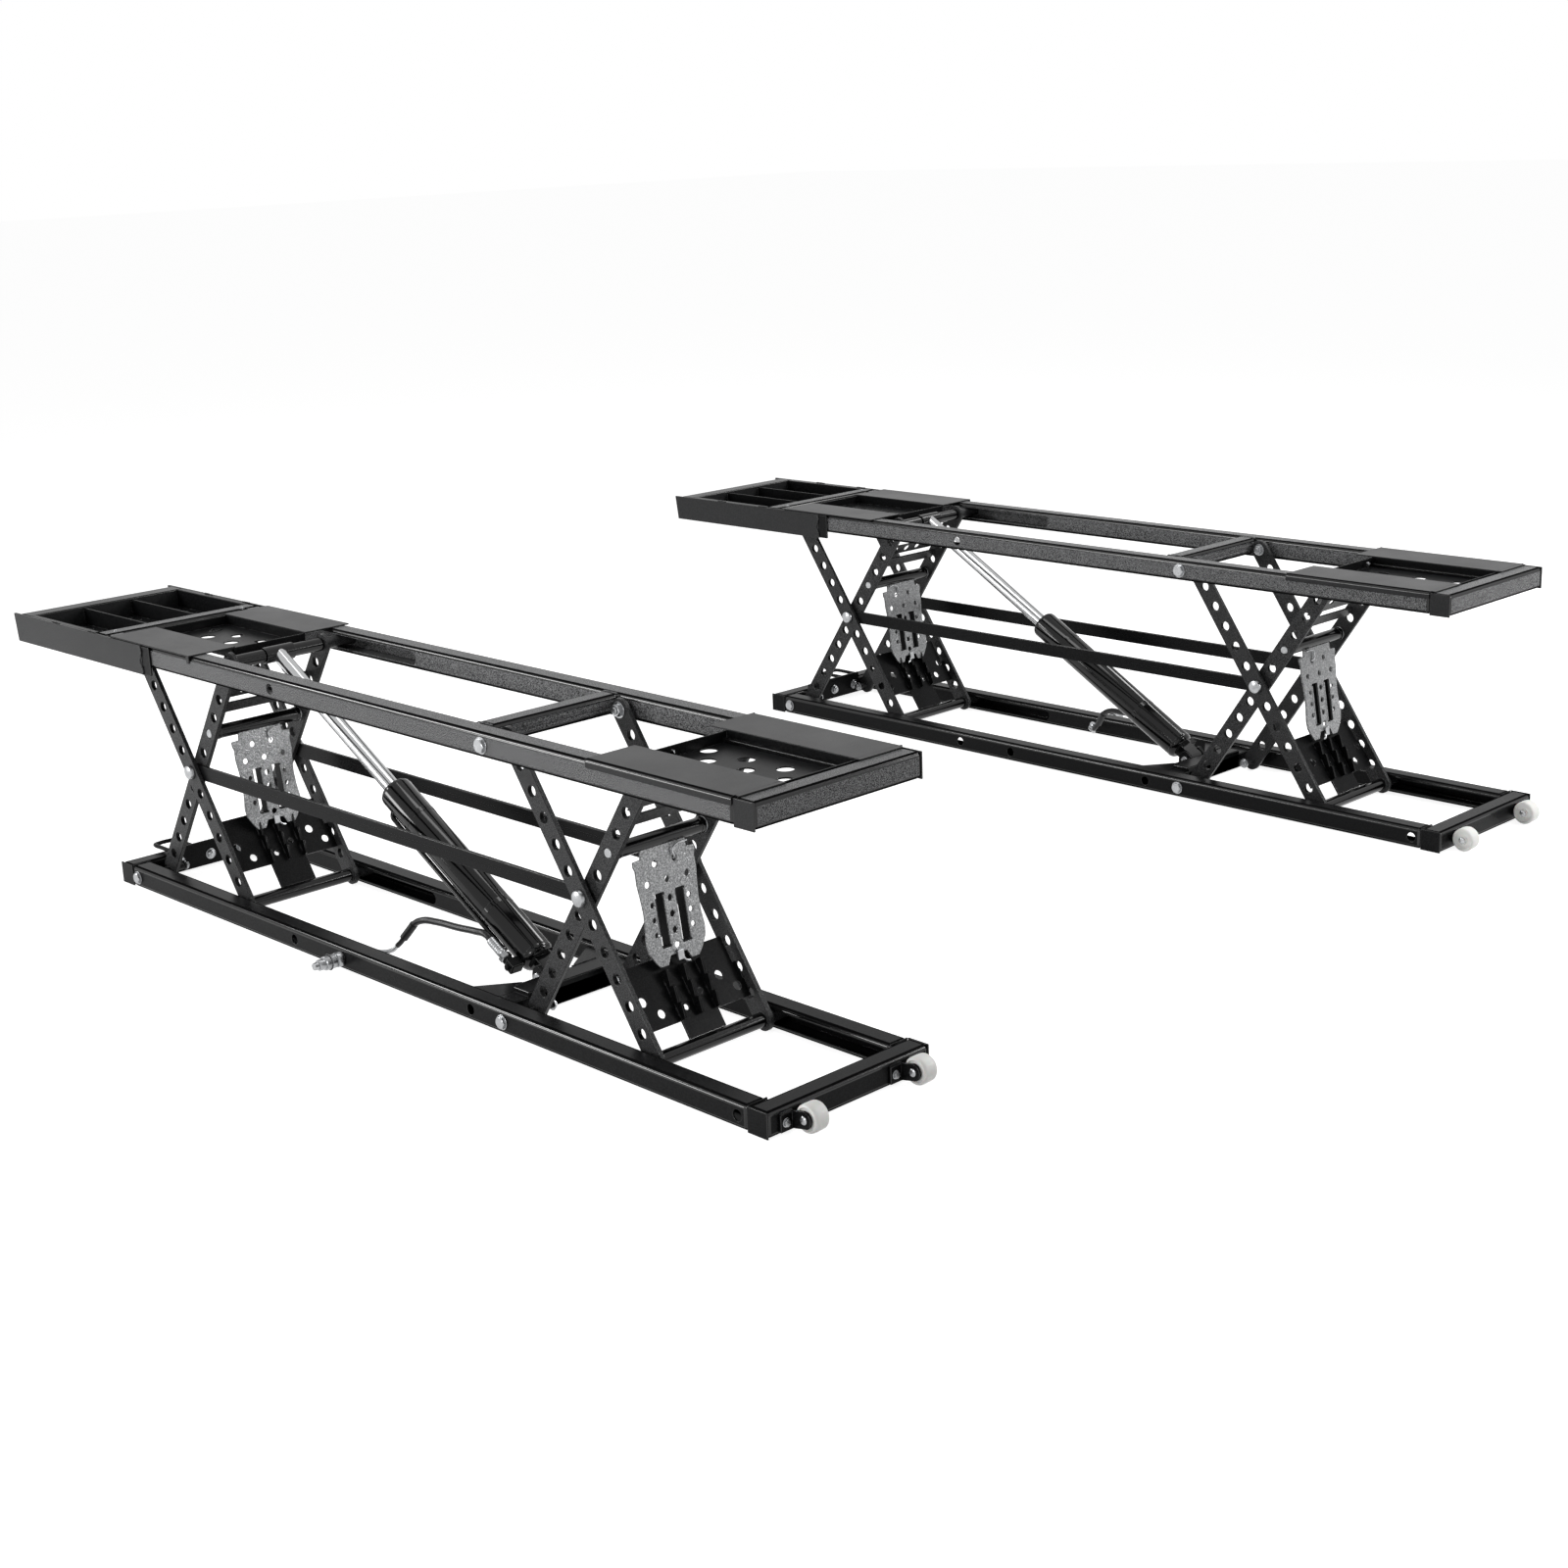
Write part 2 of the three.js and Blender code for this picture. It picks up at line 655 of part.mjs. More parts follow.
function ladder() {
  const wide = outerLegInset + legThickness + seatGap;
  const tongue = middle - ladderTongueHalfWidth;
  const tongueEnd = legLength - footTubeRadius - seatGap;
  const near = [
    [ladderTop, ladderTopInset], [ladderShoulder, ladderTopInset], [ladderShoulder, wide],
    [ladderBottom, wide], [ladderBottom, tongue], [tongueEnd, tongue],
  ];
  const far = near.map(([s, y]) => [s, frameWidth - y]).reverse();
  const holeY = wide + (tongue - wide) * ladderHoleShare;
  const holes = [
    hole(ladderShoulder + ladderHoleRadius, holeY, ladderHoleRadius),
    hole(ladderShoulder + ladderHoleRadius, frameWidth - holeY, ladderHoleRadius),
  ];
  const plate = lyingPlate(outline([...near, ...far]), -ladderThickness / 2, ladderThickness / 2, holes);
  const fins = [-1, 0, 1].map((i) => {
    const y0 = middle + i * finPitch - finThickness / 2;
    return standingPlate(finOutline(), y0, y0 + finThickness);
  });
  return join(plate, ...fins);
}

// The lock strut hangs from its sleeve: down the strut, across the runway, and out from the sleeve
function strut() {
  const across = (share) => middle + share * strutHalfWidth;
  const down = (share) => share * strutReach;
  const right = strutOutlineShares.map(([d, w]) => [down(d), across(w)]);
  const left = strutOutlineShares.map(([d, w]) => [down(d), across(-w)]).reverse();
  const [slotTop, slotFoot] = strutSlotShares.map(down);
  const slots = [-1, 1].map((side) => {
    const y = middle + side * strutSlotCentre;
    return slab(slotTop, slotFoot, y - strutSlotHalfWidth, y + strutSlotHalfWidth);
  });
  const round = (d, y) => hole(down(d), y, strutHoleRadius, hexSides);
  const holes = [
    ...slots,
    ...strutCentreHoleShares.map((d) => round(d, middle)),
    ...strutSideHoleShares.flatMap((d) => [-1, 1].map((side) => round(d, across(side * strutSideShare)))),
    ...[-1, 1].map((side) => round(strutTopHoleShare, across(side * strutTopSideShare))),
  ];
  const plate = lyingPlate(outline([...right, ...left]), strutOffset, strutOffset + strutThickness, holes);
  const y0 = innerLegInset + legThickness + runningGap;
  const bore = crossBore(0, 0, strutShaftRadius + runningGap, y0 - overrun, frameWidth - y0 + overrun);
  return cut(join(crossPin(0, 0, strutSleeveRadius, y0, frameWidth - y0), plate), bore);
}

function linkBar(y0, y1) {
  const ends = [0, pivotSpan].map((s) => hole(s, 0, pivotHoleRadius, roundSides));
  return standingPlate(roundedBar(pivotSpan, linkBarHeight / 2), y0, y1, ends);
}

// The cylinder pieces in their own frame: along the cylinder from its foot pin, and below its axis
const alongCylinder = (geometry) => geometry.rotateZ(-Math.PI / 2).translate(0, middle, 0);

function barrel() {
  const mouth = barrelLength - glandLength;
  const tube = solid(alongCylinder(turned([
    [barrelStart, 0],
    [barrelStart, barrelRadius],
    [barrelLength, barrelRadius],
    [barrelLength, rodRadius + runningGap],
    [mouth, rodRadius + runningGap],
    [mouth, boreRadius],
    [boreStart, boreRadius],
    [boreStart, 0],
  ], cylinderSides)));
  const pinHole = hole(0, 0, pinRadius + runningGap, roundSides);
  const y0 = middle - lugWidth / 2;
  const lug = standingPlate(roundedBar(barrelStart + embed, lugRadius), y0, y0 + lugWidth, [pinHole]);
  const lugInBore = block(boreStart - embed, barrelLength, y0, y0 + lugWidth, -lugRadius, lugRadius);
  const tubeEnd = barrelLength - hardTubeBack;
  const tubeY = middle - hardTubeSide;
  const hardTube = lengthPin(hardTubeStart, tubeEnd, tubeY, hardTubeSide, hardTubeRadius, holeSides);
  return join(tube, cut(lug, lugInBore), hardTube);
}

function rod() {
  const pistonEnd = barrelLength - glandLength - runningGap;
  const shaft = solid(alongCylinder(turned([
    [pistonEnd - pistonLength, 0],
    [pistonEnd - pistonLength, boreRadius - runningGap],
    [pistonEnd, boreRadius - runningGap],
    [pistonEnd, rodRadius],
    [cylinderReach, rodRadius],
    [cylinderReach, 0],
  ], cylinderSides)));
  const y0 = middle - eyeWidth / 2;
  const eye = crossPin(cylinderReach, 0, eyeRadius, y0, y0 + eyeWidth);
  return cut(join(shaft, eye), crossBore(cylinderReach, 0, pinRadius + runningGap, y0 - overrun, frameWidth));
}

// The pin through the rod's eye, with a thick collar on either side of the eye
function rodPin() {
  const y0 = innerLegInset + legThickness + runningGap;
  const eyeStart = middle - eyeWidth / 2 - runningGap;
  const collars = onBothSides(y0, eyeStart, (from, to) => crossPin(cylinderReach, 0, rodCollarRadius, from, to));
  return join(crossPin(cylinderReach, 0, pinRadius, y0, frameWidth - y0), ...collars);
}

function hoseFitting() {
  const z0 = fittingBelow - fittingBlockHalf;
  const side = middle - barrelRadius - seatGap;
  const y0 = fittingY - fittingBlockHalf;
  return join(
    block(fittingBlockStart, fittingBlockEnd, y0, side, z0, z0 + 2 * fittingBlockHalf),
    lengthPin(fittingBlockEnd - embed, fittingHexEnd, fittingY, fittingBelow, fittingHexRadius, hexSides),
    lengthPin(fittingHexEnd - embed, fittingCrimpEnd, fittingY, fittingBelow, fittingCrimpRadius),
  );
}

// The hose leaves its fitting along the cylinder, arches over and comes down to the coupler's inlet
function hose() {
  const start = fittingCrimpEnd + seatGap;
  const leave = (along) => [
    cylinderPivotX - along * Math.cos(cylinderAngle) - fittingBelow * Math.sin(cylinderAngle),
    fittingY,
    cylinderPivotZ + along * Math.sin(cylinderAngle) - fittingBelow * Math.cos(cylinderAngle),
  ];
  const route = [
    leave(start),
    leave(start + 2 * hoseRadius),
    [966, 119, 96],
    [924, 115, 93],
    [870, 110, 85],
    [832, 104, 76],
    [802, 97, 56],
    [782, 90, 36],
    [762, 80, 24],
    [couplerX, couplerInletInset + 2 * hoseRadius, pivotLow],
    [couplerX, couplerInletInset + seatGap, pivotLow],
  ];
  return tubeAlong(route, hoseRadius, hoseSteps, hoseSides);
}

function coupler() {
  const steps = [
    [couplerHexRadius, couplerHexLength],
    [couplerGrooveRadius, couplerGrooveLength],
    [couplerCollarRadius, couplerCollarLength],
    [couplerNeckRadius, couplerNeckLength],
    [couplerTipRadius, couplerTipLength],
  ];
  const profile = [];
  let y = -seatGap;
  for (const [radius, length] of steps) {
    profile.push([y, radius], [y - length, radius]);
    y -= length;
  }
  profile.push([y, 0]);
  const stem = [
    [couplerInletInset, 0],
    [couplerInletInset, couplerStemRadius],
    [-seatGap, couplerStemRadius],
  ];
  return solid(turned([...stem, ...profile].reverse()).translate(couplerX, 0, pivotLow));
}

function wheel() {
  const bore = axleRadius + runningGap;
  const half = wheelWidth / 2;
  return turned([
    [-half, bore],
    [-half, wheelRadius - wheelBevel],
    [wheelBevel - half, wheelRadius],
    [half - wheelBevel, wheelRadius],
    [half, wheelRadius - wheelBevel],
    [half, bore],
    [-half, bore],
  ], cylinderSides);
}

// A bent bracket: its flange lies on the end of the base, and its arm carries the axle
function wheelBracket() {
  const x0 = frameLength + seatGap;
  const axleX = frameLength + wheelReach;
  const axleZ = wheelRadius + runningGap;
  const armEnd = bracketArmInset + bracketThickness;
  const wheelEnd = armEnd + wheelWidth + 2 * runningGap;
  const arm = new THREE.Shape();
  arm.moveTo(x0, bracketBottom);
  arm.lineTo(axleX, axleZ - bracketArmRadius);
  arm.absarc(axleX, axleZ, bracketArmRadius, -Math.PI / 2, Math.PI / 2, false);
  arm.lineTo(x0, bracketTop);
  const boltY = bracketFlangeInset + bracketBoltShare * (armEnd - bracketFlangeInset);
  const boltZ = (bracketBottom + bracketTop) / 2;
  const boltEnd = x0 + bracketThickness + bracketBoltHeight;
  const headStart = bracketArmInset - axleHeadHeight;
  return join(
    block(x0, x0 + bracketThickness, bracketFlangeInset, armEnd, bracketBottom, bracketTop),
    standingPlate(arm, bracketArmInset, armEnd),
    lengthPin(x0 + embed, boltEnd, boltY, boltZ, bracketBoltRadius, hexSides),
    crossPin(axleX, axleZ, axleRadius, bracketArmInset - embed, wheelEnd + axleHeadHeight),
    crossPin(axleX, axleZ, axleHeadRadius, headStart, bracketArmInset + embed, hexSides),
    crossPin(axleX, axleZ, axleHeadRadius, wheelEnd, wheelEnd + axleHeadHeight, hexSides),
  );
}

function pullHandle() {
  const x1 = tubeSize - seatGap;
  const bend = 2 * handleRadius;
  const arm = (y, inward) => [
    [x1, y, handleHeight],
    [0, y, handleHeight],
    [bend - handleReach, y, handleHeight],
    [-handleReach, y + inward * bend, handleHeight],
  ];
  const route = [...arm(handleNear, 1), ...arm(handleFar, -1).reverse()];
  return tubeAlong(route, handleRadius, handleSteps, hexSides);
}

// One runway, with every piece named after the side of the lift that it stands on
function runway(side) {
  const group = new THREE.Group();
  const add = (mesh) => group.add(mesh);
  const named = (piece) => side + "_" + piece;

  add(meshOf(named("base_frame"), baseFrame(), blackCoat));
  add(meshOf(named("top_frame"), topFrame(), blackCoat));
  add(meshOf(named("end_tray"), endTray(), blackCoat));
  const rearRow = middle + rearHoleAside;
  const rearHoles = trayHoles(rearPocketStart, rearPocketEnd, rearHoleStartShare, rearRow);
  add(meshOf(
    named("rear_tray"),
    tray(rearTrayStart, rearTrayEnd, rearPocketStart, rearPocketEnd, rearHoles),
    blackCoat,
  ));
  const frontRow = middle + frontHoleAside;
  const frontHoles = trayHoles(frontPocketStart, frontPocketEnd, frontHoleStartShare, frontRow);
  add(meshOf(
    named("front_tray"),
    tray(frontTrayStart, frontTrayEnd, frontPocketStart, frontPocketEnd, frontHoles),
    blackCoat,
  ));

  const scissors = [
    ["left", leftPivot, web(leftWebBack, leftWebWidth, leftWebOffset), false],
    ["right", rightPivot, web(rightWebBack, rightWebWidth, rightWebOffset), true],
  ];
  for (const [end, pivot, legWeb, hasHead] of scissors) {
    const hingeX = pivot + strutHinge * Math.cos(raisedAngle);
    const hingeZ = pivotLow + strutHinge * Math.sin(raisedAngle);
    const shaft = crossPin(0, 0, strutShaftRadius, middle - shaftHalfLength, middle + shaftHalfLength);
    const inner = meshOf(named("inner_legs_" + end), innerLegs(legWeb), blackCoat);
    const outer = meshOf(named("outer_legs_" + end), outerLegs(hasHead), blackCoat);
    const lockLadder = meshOf(named("lock_ladder_" + end), ladder(), blackCoat);
    const lockStrut = meshOf(named("lock_strut_" + end), strut(), hammeredGrey);
    const strutShaft = meshOf(named("strut_shaft_" + end), shaft, zinc);
    add(placed(inner, pivot, pivotLow, -raisedAngle));
    add(placed(outer, pivot, pivotHigh, raisedAngle));
    add(placed(lockLadder, pivot, pivotHigh, raisedAngle));
    add(placed(lockStrut, hingeX, hingeZ, Math.PI / 2 - strutLean));
    add(placed(strutShaft, hingeX, hingeZ, -raisedAngle));
  }

  bothSides(linkBarInset, linkBarInset + linkBarThickness).forEach(([y0, y1], i) => {
    const bar = meshOf(named(i ? "link_bar_far" : "link_bar_near"), linkBar(y0, y1), blackCoat);
    add(placed(bar, leftPivot + restRun / 2, (pivotLow + pivotHigh) / 2, 0));
  });

  const cylinderTurn = cylinderAngle - Math.PI;
  const onCylinder = (mesh) => add(placed(mesh, cylinderPivotX, cylinderPivotZ, cylinderTurn));
  onCylinder(meshOf(named("cylinder_barrel"), barrel(), blackCoat));
  onCylinder(meshOf(named("cylinder_rod"), rod(), chrome));
  onCylinder(meshOf(named("hose_fitting"), hoseFitting(), zinc));
  onCylinder(meshOf(named("rod_pin"), rodPin(), blackCoat));
  const footPinStart = earInset - pinOverhang;
  const footPin = crossPin(0, 0, pinRadius, footPinStart, frameWidth - footPinStart);
  onCylinder(meshOf(named("cylinder_pin"), footPin, zinc));

  add(place(named("hose"), hose(), blackRubber));
  add(meshOf(named("hose_coupler"), coupler(), zinc));
  add(place(named("pull_handle"), pullHandle(), zinc));

  const wheelY = bracketArmInset + bracketThickness + runningGap + wheelWidth / 2;
  ["near", "far"].forEach((corner, i) => {
    const bracket = meshOf(named("wheel_bracket_" + corner), wheelBracket(), blackCoat);
    bracket.position.y = i * bracketPitch;
    add(bracket);
    const castor = place(named("wheel_" + corner), wheel(), whiteNylon);
    castor.position.set(frameLength + wheelReach, wheelY + i * bracketPitch, wheelRadius + runningGap);
    add(castor);
  });
  return group;
}

// The far runway mirrors the near one and stands slightly further along
const lift = new THREE.Group();
const nearRunway = runway("near");
const farRunway = runway("far");
farRunway.scale.y = -1;
farRunway.position.set(runwayShift, runwayPitch, 0);
lift.add(nearRunway, farRunway);
lift.updateMatrixWorld(true);

// The origin is the middle of the bottom of the whole lift
const bounds = new THREE.Box3().setFromObject(lift, true);
const centre = bounds.getCenter(new THREE.Vector3());
lift.position.set(-centre.x, -centre.y, -bounds.min.z);

export default lift;
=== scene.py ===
"""Portable vehicle lift: two mirrored scissor runways, raised.

The sizes are millimetres along a runway (X, from its left end), across it (Y, from its outer side)
and up from the floor (Z). Every piece is drawn on the near runway and mirrored for the far one.
"""
import math

import bmesh
import bpy
from mathutils import Matrix, Vector


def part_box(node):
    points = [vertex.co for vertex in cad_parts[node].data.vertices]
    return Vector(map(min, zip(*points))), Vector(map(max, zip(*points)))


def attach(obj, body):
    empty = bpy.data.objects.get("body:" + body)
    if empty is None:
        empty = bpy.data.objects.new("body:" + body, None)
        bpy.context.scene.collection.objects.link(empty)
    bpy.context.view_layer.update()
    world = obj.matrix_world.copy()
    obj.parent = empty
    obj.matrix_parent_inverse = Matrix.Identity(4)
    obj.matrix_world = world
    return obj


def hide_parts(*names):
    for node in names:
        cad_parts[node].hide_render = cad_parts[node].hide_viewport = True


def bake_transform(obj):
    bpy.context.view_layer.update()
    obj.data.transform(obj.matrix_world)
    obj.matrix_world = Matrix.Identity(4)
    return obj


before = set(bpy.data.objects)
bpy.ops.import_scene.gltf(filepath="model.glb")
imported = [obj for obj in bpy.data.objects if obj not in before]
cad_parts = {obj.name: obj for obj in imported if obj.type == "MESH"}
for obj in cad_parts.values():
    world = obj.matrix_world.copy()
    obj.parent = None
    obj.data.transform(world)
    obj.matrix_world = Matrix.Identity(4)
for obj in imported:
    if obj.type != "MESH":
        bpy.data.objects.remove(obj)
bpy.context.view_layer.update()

MM = 0.001

# Frames
LENGTH, WIDTH, TUBE, WALL, DECK = 1784, 330, 40, 3, 487
MIDDLE = WIDTH / 2
CAP = 0.8
GAP = 0.3

# Linkage
LOW, HIGH = TUBE / 2, DECK - TUBE / 2
RAISED, FOLD = math.radians(55.87), math.radians(50)
LEG = (HIGH - LOW) / math.sin(RAISED)
REST_RUN, LOW_RUN = LEG * math.cos(RAISED), LEG * math.cos(RAISED - FOLD)
ROLLER = 11
SLOT_START, SLOT_END = REST_RUN - ROLLER - 3, LOW_RUN + ROLLER + 3
SLOT_HALF = ROLLER + 0.5
LEFT = 60
RIGHT = LENGTH - TUBE - 6.8 - SLOT_END
LEG_HALF, LEG_THICK = 19, 8
INNER_Y, OUTER_Y = 65.2, 50
LEG_HOLE, LEG_HOLE_PITCH = 9.3, 45
HINGE_S = LEG - 176
HINGE_X, HINGE_Z = HINGE_S * math.cos(RAISED), LOW + HINGE_S * math.sin(RAISED)
LINK_Y, LINK_THICK, LINK_HALF = 58.6, 6, 13.5

# Cylinder
FOOT_X, FOOT_Z = RIGHT - 82, 34
EYE_X = LEFT + REST_RUN
REACH = math.hypot(EYE_X - FOOT_X, HIGH - FOOT_Z)
CYLINDER_LEAN = math.atan2(HIGH - FOOT_Z, FOOT_X - EYE_X)
BARREL_R, BARREL_START, BARREL_END = 29.5, 32, REACH * 0.5477
ROD_R, EYE_R = 14, 15
COUPLER_X = 742

# Edge rounding: a plate's edge, the widest (on the square tubes), and the angle from which an edge is sharp
PLATE_EDGE = 0.6
TUBE_CORNER = 7
SHARP = math.radians(32)


# ---- shapes in millimetres on the near runway ------------------------------------------------

def mark_edges(bm, width):
    """Gives every sharp edge its share of the widest rounding, by a number or by a rule for an edge."""
    layer = bm.edges.layers.float.get("bevel_weight_edge") or bm.edges.layers.float.new("bevel_weight_edge")
    for edge in bm.edges:
        if len(edge.link_faces) == 2 and edge.calc_face_angle(0) > SHARP:
            edge[layer] = (width(edge) if callable(width) else width) / TUBE_CORNER
    return bm


def in_scene(obj):
    bpy.context.scene.collection.objects.link(obj)
    return obj


def box(x0, x1, y0, y1, z0, z1, edge=PLATE_EDGE):
    bm = bmesh.new()
    bmesh.ops.create_cube(bm, size=1)
    size = Matrix.Diagonal((x1 - x0, y1 - y0, z1 - z0, 1))
    centre = Matrix.Translation(((x0 + x1) / 2, (y0 + y1) / 2, (z0 + z1) / 2))
    bmesh.ops.transform(bm, matrix=centre @ size, verts=bm.verts)
    return mark_edges(bm, edge)


def tube_box(x0, x1, y0, y1, z0, z1):
    return box(x0, x1, y0, y1, z0, z1, TUBE_CORNER)


def turned(profile, place=Matrix(), sides=40, edge=PLATE_EDGE):
    """A body of revolution about Z. The profile holds pairs of distance along the axis and radius."""
    bm = bmesh.new()
    rings = []
    for along, radius in profile:
        if radius:
            angles = [2 * math.pi * i / sides for i in range(sides)]
            rings.append([bm.verts.new((radius * math.cos(a), radius * math.sin(a), along)) for a in angles])
        else:
            rings.append([bm.verts.new((0, 0, along))])
    pairs = list(zip(rings, rings[1:]))
    if len(rings[0]) > 1 and len(rings[-1]) > 1:
        pairs.append((rings[-1], rings[0]))
    for a, b in pairs:
        for i in range(sides):
            corners = [a[i % len(a)], a[(i + 1) % len(a)], b[(i + 1) % len(b)], b[i % len(b)]]
            unique = list(dict.fromkeys(corners))
            if len(unique) > 2:
                bm.faces.new(unique)
    bmesh.ops.recalc_face_normals(bm, faces=bm.faces)
    bmesh.ops.transform(bm, matrix=place, verts=bm.verts)
    return mark_edges(bm, edge)


def rod_profile(z0, z1, radius, chamfer=0.6):
    return [(z0, 0), (z0, radius - chamfer), (z0 + chamfer, radius), (z1 - chamfer, radius),
            (z1, radius - chamfer), (z1, 0)]


ACROSS = Matrix.Rotation(-math.pi / 2, 4, "X")
TOWARDS_NEAR = Matrix.Rotation(math.pi / 2, 4, "X")
ALONG = Matrix.Rotation(math.pi / 2, 4, "Y")


def cross_rod(x, z, radius, y0, y1, sides=40, chamfer=0.6):
    return turned(rod_profile(y0, y1, radius, chamfer), Matrix.Translation((x, 0, z)) @ ACROSS, sides, 0)


def tube(points, radius, resolution=8, sides=6):
    """A round bar or hose that follows smooth points."""
    curve = bpy.data.curves.new("route", "CURVE")
    curve.dimensions = "3D"
    curve.bevel_depth = radius
    curve.bevel_resolution = sides
    curve.use_fill_caps = True
    spline = curve.splines.new("BEZIER")
    spline.resolution_u = resolution
    spline.bezier_points.add(len(points) - 1)
    for knot, point in zip(spline.bezier_points, points):
        knot.co = point
        knot.handle_left_type = knot.handle_right_type = "AUTO"
    return evaluated(bpy.data.objects.new("route", curve))


def evaluated(obj):
    """The finished mesh of a modified object, as a bmesh. The object goes."""
    in_scene(obj)
    mesh = bpy.data.meshes.new_from_object(obj.evaluated_get(bpy.context.evaluated_depsgraph_get()))
    bpy.data.objects.remove(obj)
    bm = bmesh.new()
    bm.from_mesh(mesh)
    bpy.data.meshes.remove(mesh)
    bmesh.ops.remove_doubles(bm, verts=bm.verts, dist=0.001)
    bmesh.ops.recalc_face_normals(bm, faces=bm.faces)
    return bm


def to_mesh(bm):
    mesh = bpy.data.meshes.new("shape")
    bm.to_mesh(mesh)
    bm.free()
    return mesh


def together(*shapes):
    """Several shapes as one bmesh."""
    whole = bmesh.new()
    whole.edges.layers.float.new("bevel_weight_edge")
    for bm in shapes:
        mesh = to_mesh(bm)
        whole.from_mesh(mesh)
        bpy.data.meshes.remove(mesh)
    return whole


def cut(bm, cutters, edge=PLATE_EDGE):
    """bm without its cutters, with its sharp edges marked again."""
    target = bpy.data.objects.new("target", to_mesh(bm))
    knife = in_scene(bpy.data.objects.new("knife", to_mesh(together(*cutters))))
    modifier = target.modifiers.new("cut", "BOOLEAN")
    modifier.operation = "DIFFERENCE"
    modifier.solver = "EXACT"
    modifier.use_self = True
    modifier.object = knife
    result = evaluated(target)
    bpy.data.objects.remove(knife)
    return mark_edges(result, edge)


def moved(bm, matrix):
    bmesh.ops.transform(bm, matrix=matrix, verts=bm.verts)
    return bm


def both(y0, y1, make):
    """A shape on the near side of the runway, and the same on its far side."""
    return [make(y0, y1), make(WIDTH - y1, WIDTH - y0)]


# ---- repeated shapes: geometry node trees ----------------------------------------------------

def tree_named(name, *sockets):
    tree = bpy.data.node_groups.new(name, "GeometryNodeTree")
    tree.is_modifier = True
    tree.interface.new_socket("Geometry", in_out="INPUT", socket_type="NodeSocketGeometry")
    for label, kind, value in sockets:
        socket = tree.interface.new_socket(label, in_out="INPUT", socket_type="NodeSocket" + kind)
        if value is not None:
            socket.default_value = value
    tree.interface.new_socket("Material", in_out="INPUT", socket_type="NodeSocketMaterial")
    tree.interface.new_socket("Geometry", in_out="OUTPUT", socket_type="NodeSocketGeometry")
    return tree


class Nodes:
    """Short ways to add and join a tree's nodes. A node given as an input stands for its first output."""

    def __init__(self, tree):
        self.tree = tree
        self.column = 0

    def add(self, kind, inputs=None, **settings):
        node = self.tree.nodes.new(kind)
        node.location = (self.column * 190, 0)
        self.column += 1
        for key, value in settings.items():
            setattr(node, key, value)
        for key, value in (inputs or {}).items():
            if isinstance(value, bpy.types.Node):
                value = value.outputs[0]
            if isinstance(value, bpy.types.NodeSocket):
                self.tree.links.new(value, node.inputs[key])
            else:
                node.inputs[key].default_value = value
        return node

    def math(self, operation, a, b):
        return self.add("ShaderNodeMath", {0: a, 1: b}, operation=operation)

    def ramp(self, value, low, high, to_low=0.0, to_high=1.0):
        """The value, stretched from low and high to the other two."""
        return self.add("ShaderNodeMapRange", {
            "Value": value, "From Min": low, "From Max": high, "To Min": to_low, "To Max": to_high})

    def join(self, *sockets):
        node = self.add("GeometryNodeJoinGeometry")
        for socket in reversed(sockets):
            self.tree.links.new(socket, node.inputs[0])
        return node.outputs[0]

    def finish(self, geometry, material):
        real = self.add("GeometryNodeRealizeInstances", {"Geometry": geometry})
        coated = self.add("GeometryNodeSetMaterial", {"Geometry": real, "Material": material})
        self.add("NodeGroupOutput", {"Geometry": coated})


def perforated_plate_tree():
    """Fills closed outlines, leaves the round holes open, and gives the plate its thickness."""
    tree = tree_named("perforated plate", ("Thickness", "Float", 4.0), ("Hole Facets", "Int", 24))
    n = Nodes(tree)
    given = n.add("NodeGroupInput").outputs
    radius = n.add("GeometryNodeInputNamedAttribute", {"Name": "hole_radius"}, data_type="FLOAT")
    is_hole = n.add("FunctionNodeCompare", {"A": radius.outputs["Attribute"], "B": 0.01},
                    data_type="FLOAT", operation="GREATER_THAN")
    parts = n.add("GeometryNodeSeparateGeometry",
                  {"Geometry": given["Geometry"], "Selection": is_hole.outputs["Result"]}, domain="POINT")
    outline = n.add("GeometryNodeMeshToCurve", {"Mesh": parts.outputs["Inverted"]})
    ring = n.add("GeometryNodeCurvePrimitiveCircle", {"Resolution": given["Hole Facets"], "Radius": 1.0})
    holes = n.add("GeometryNodeInstanceOnPoints", {
        "Points": parts.outputs["Selection"], "Instance": ring.outputs["Curve"],
        "Scale": radius.outputs["Attribute"],
    })
    rings = n.add("GeometryNodeRealizeInstances", {"Geometry": holes})
    sheet = n.add("GeometryNodeFillCurve", {"Curve": n.join(outline.outputs[0], rings.outputs[0])})
    flipped = n.add("GeometryNodeFlipFaces", {"Mesh": sheet})
    raised = n.add("GeometryNodeExtrudeMesh", {
        "Mesh": sheet, "Offset Scale": given["Thickness"], "Individual": False,
    }, mode="FACES")
    closed = n.add("GeometryNodeMergeByDistance",
                   {"Geometry": n.join(raised.outputs["Mesh"], flipped.outputs[0]), "Distance": 0.001})
    n.finish(closed, given["Material"])
    return tree


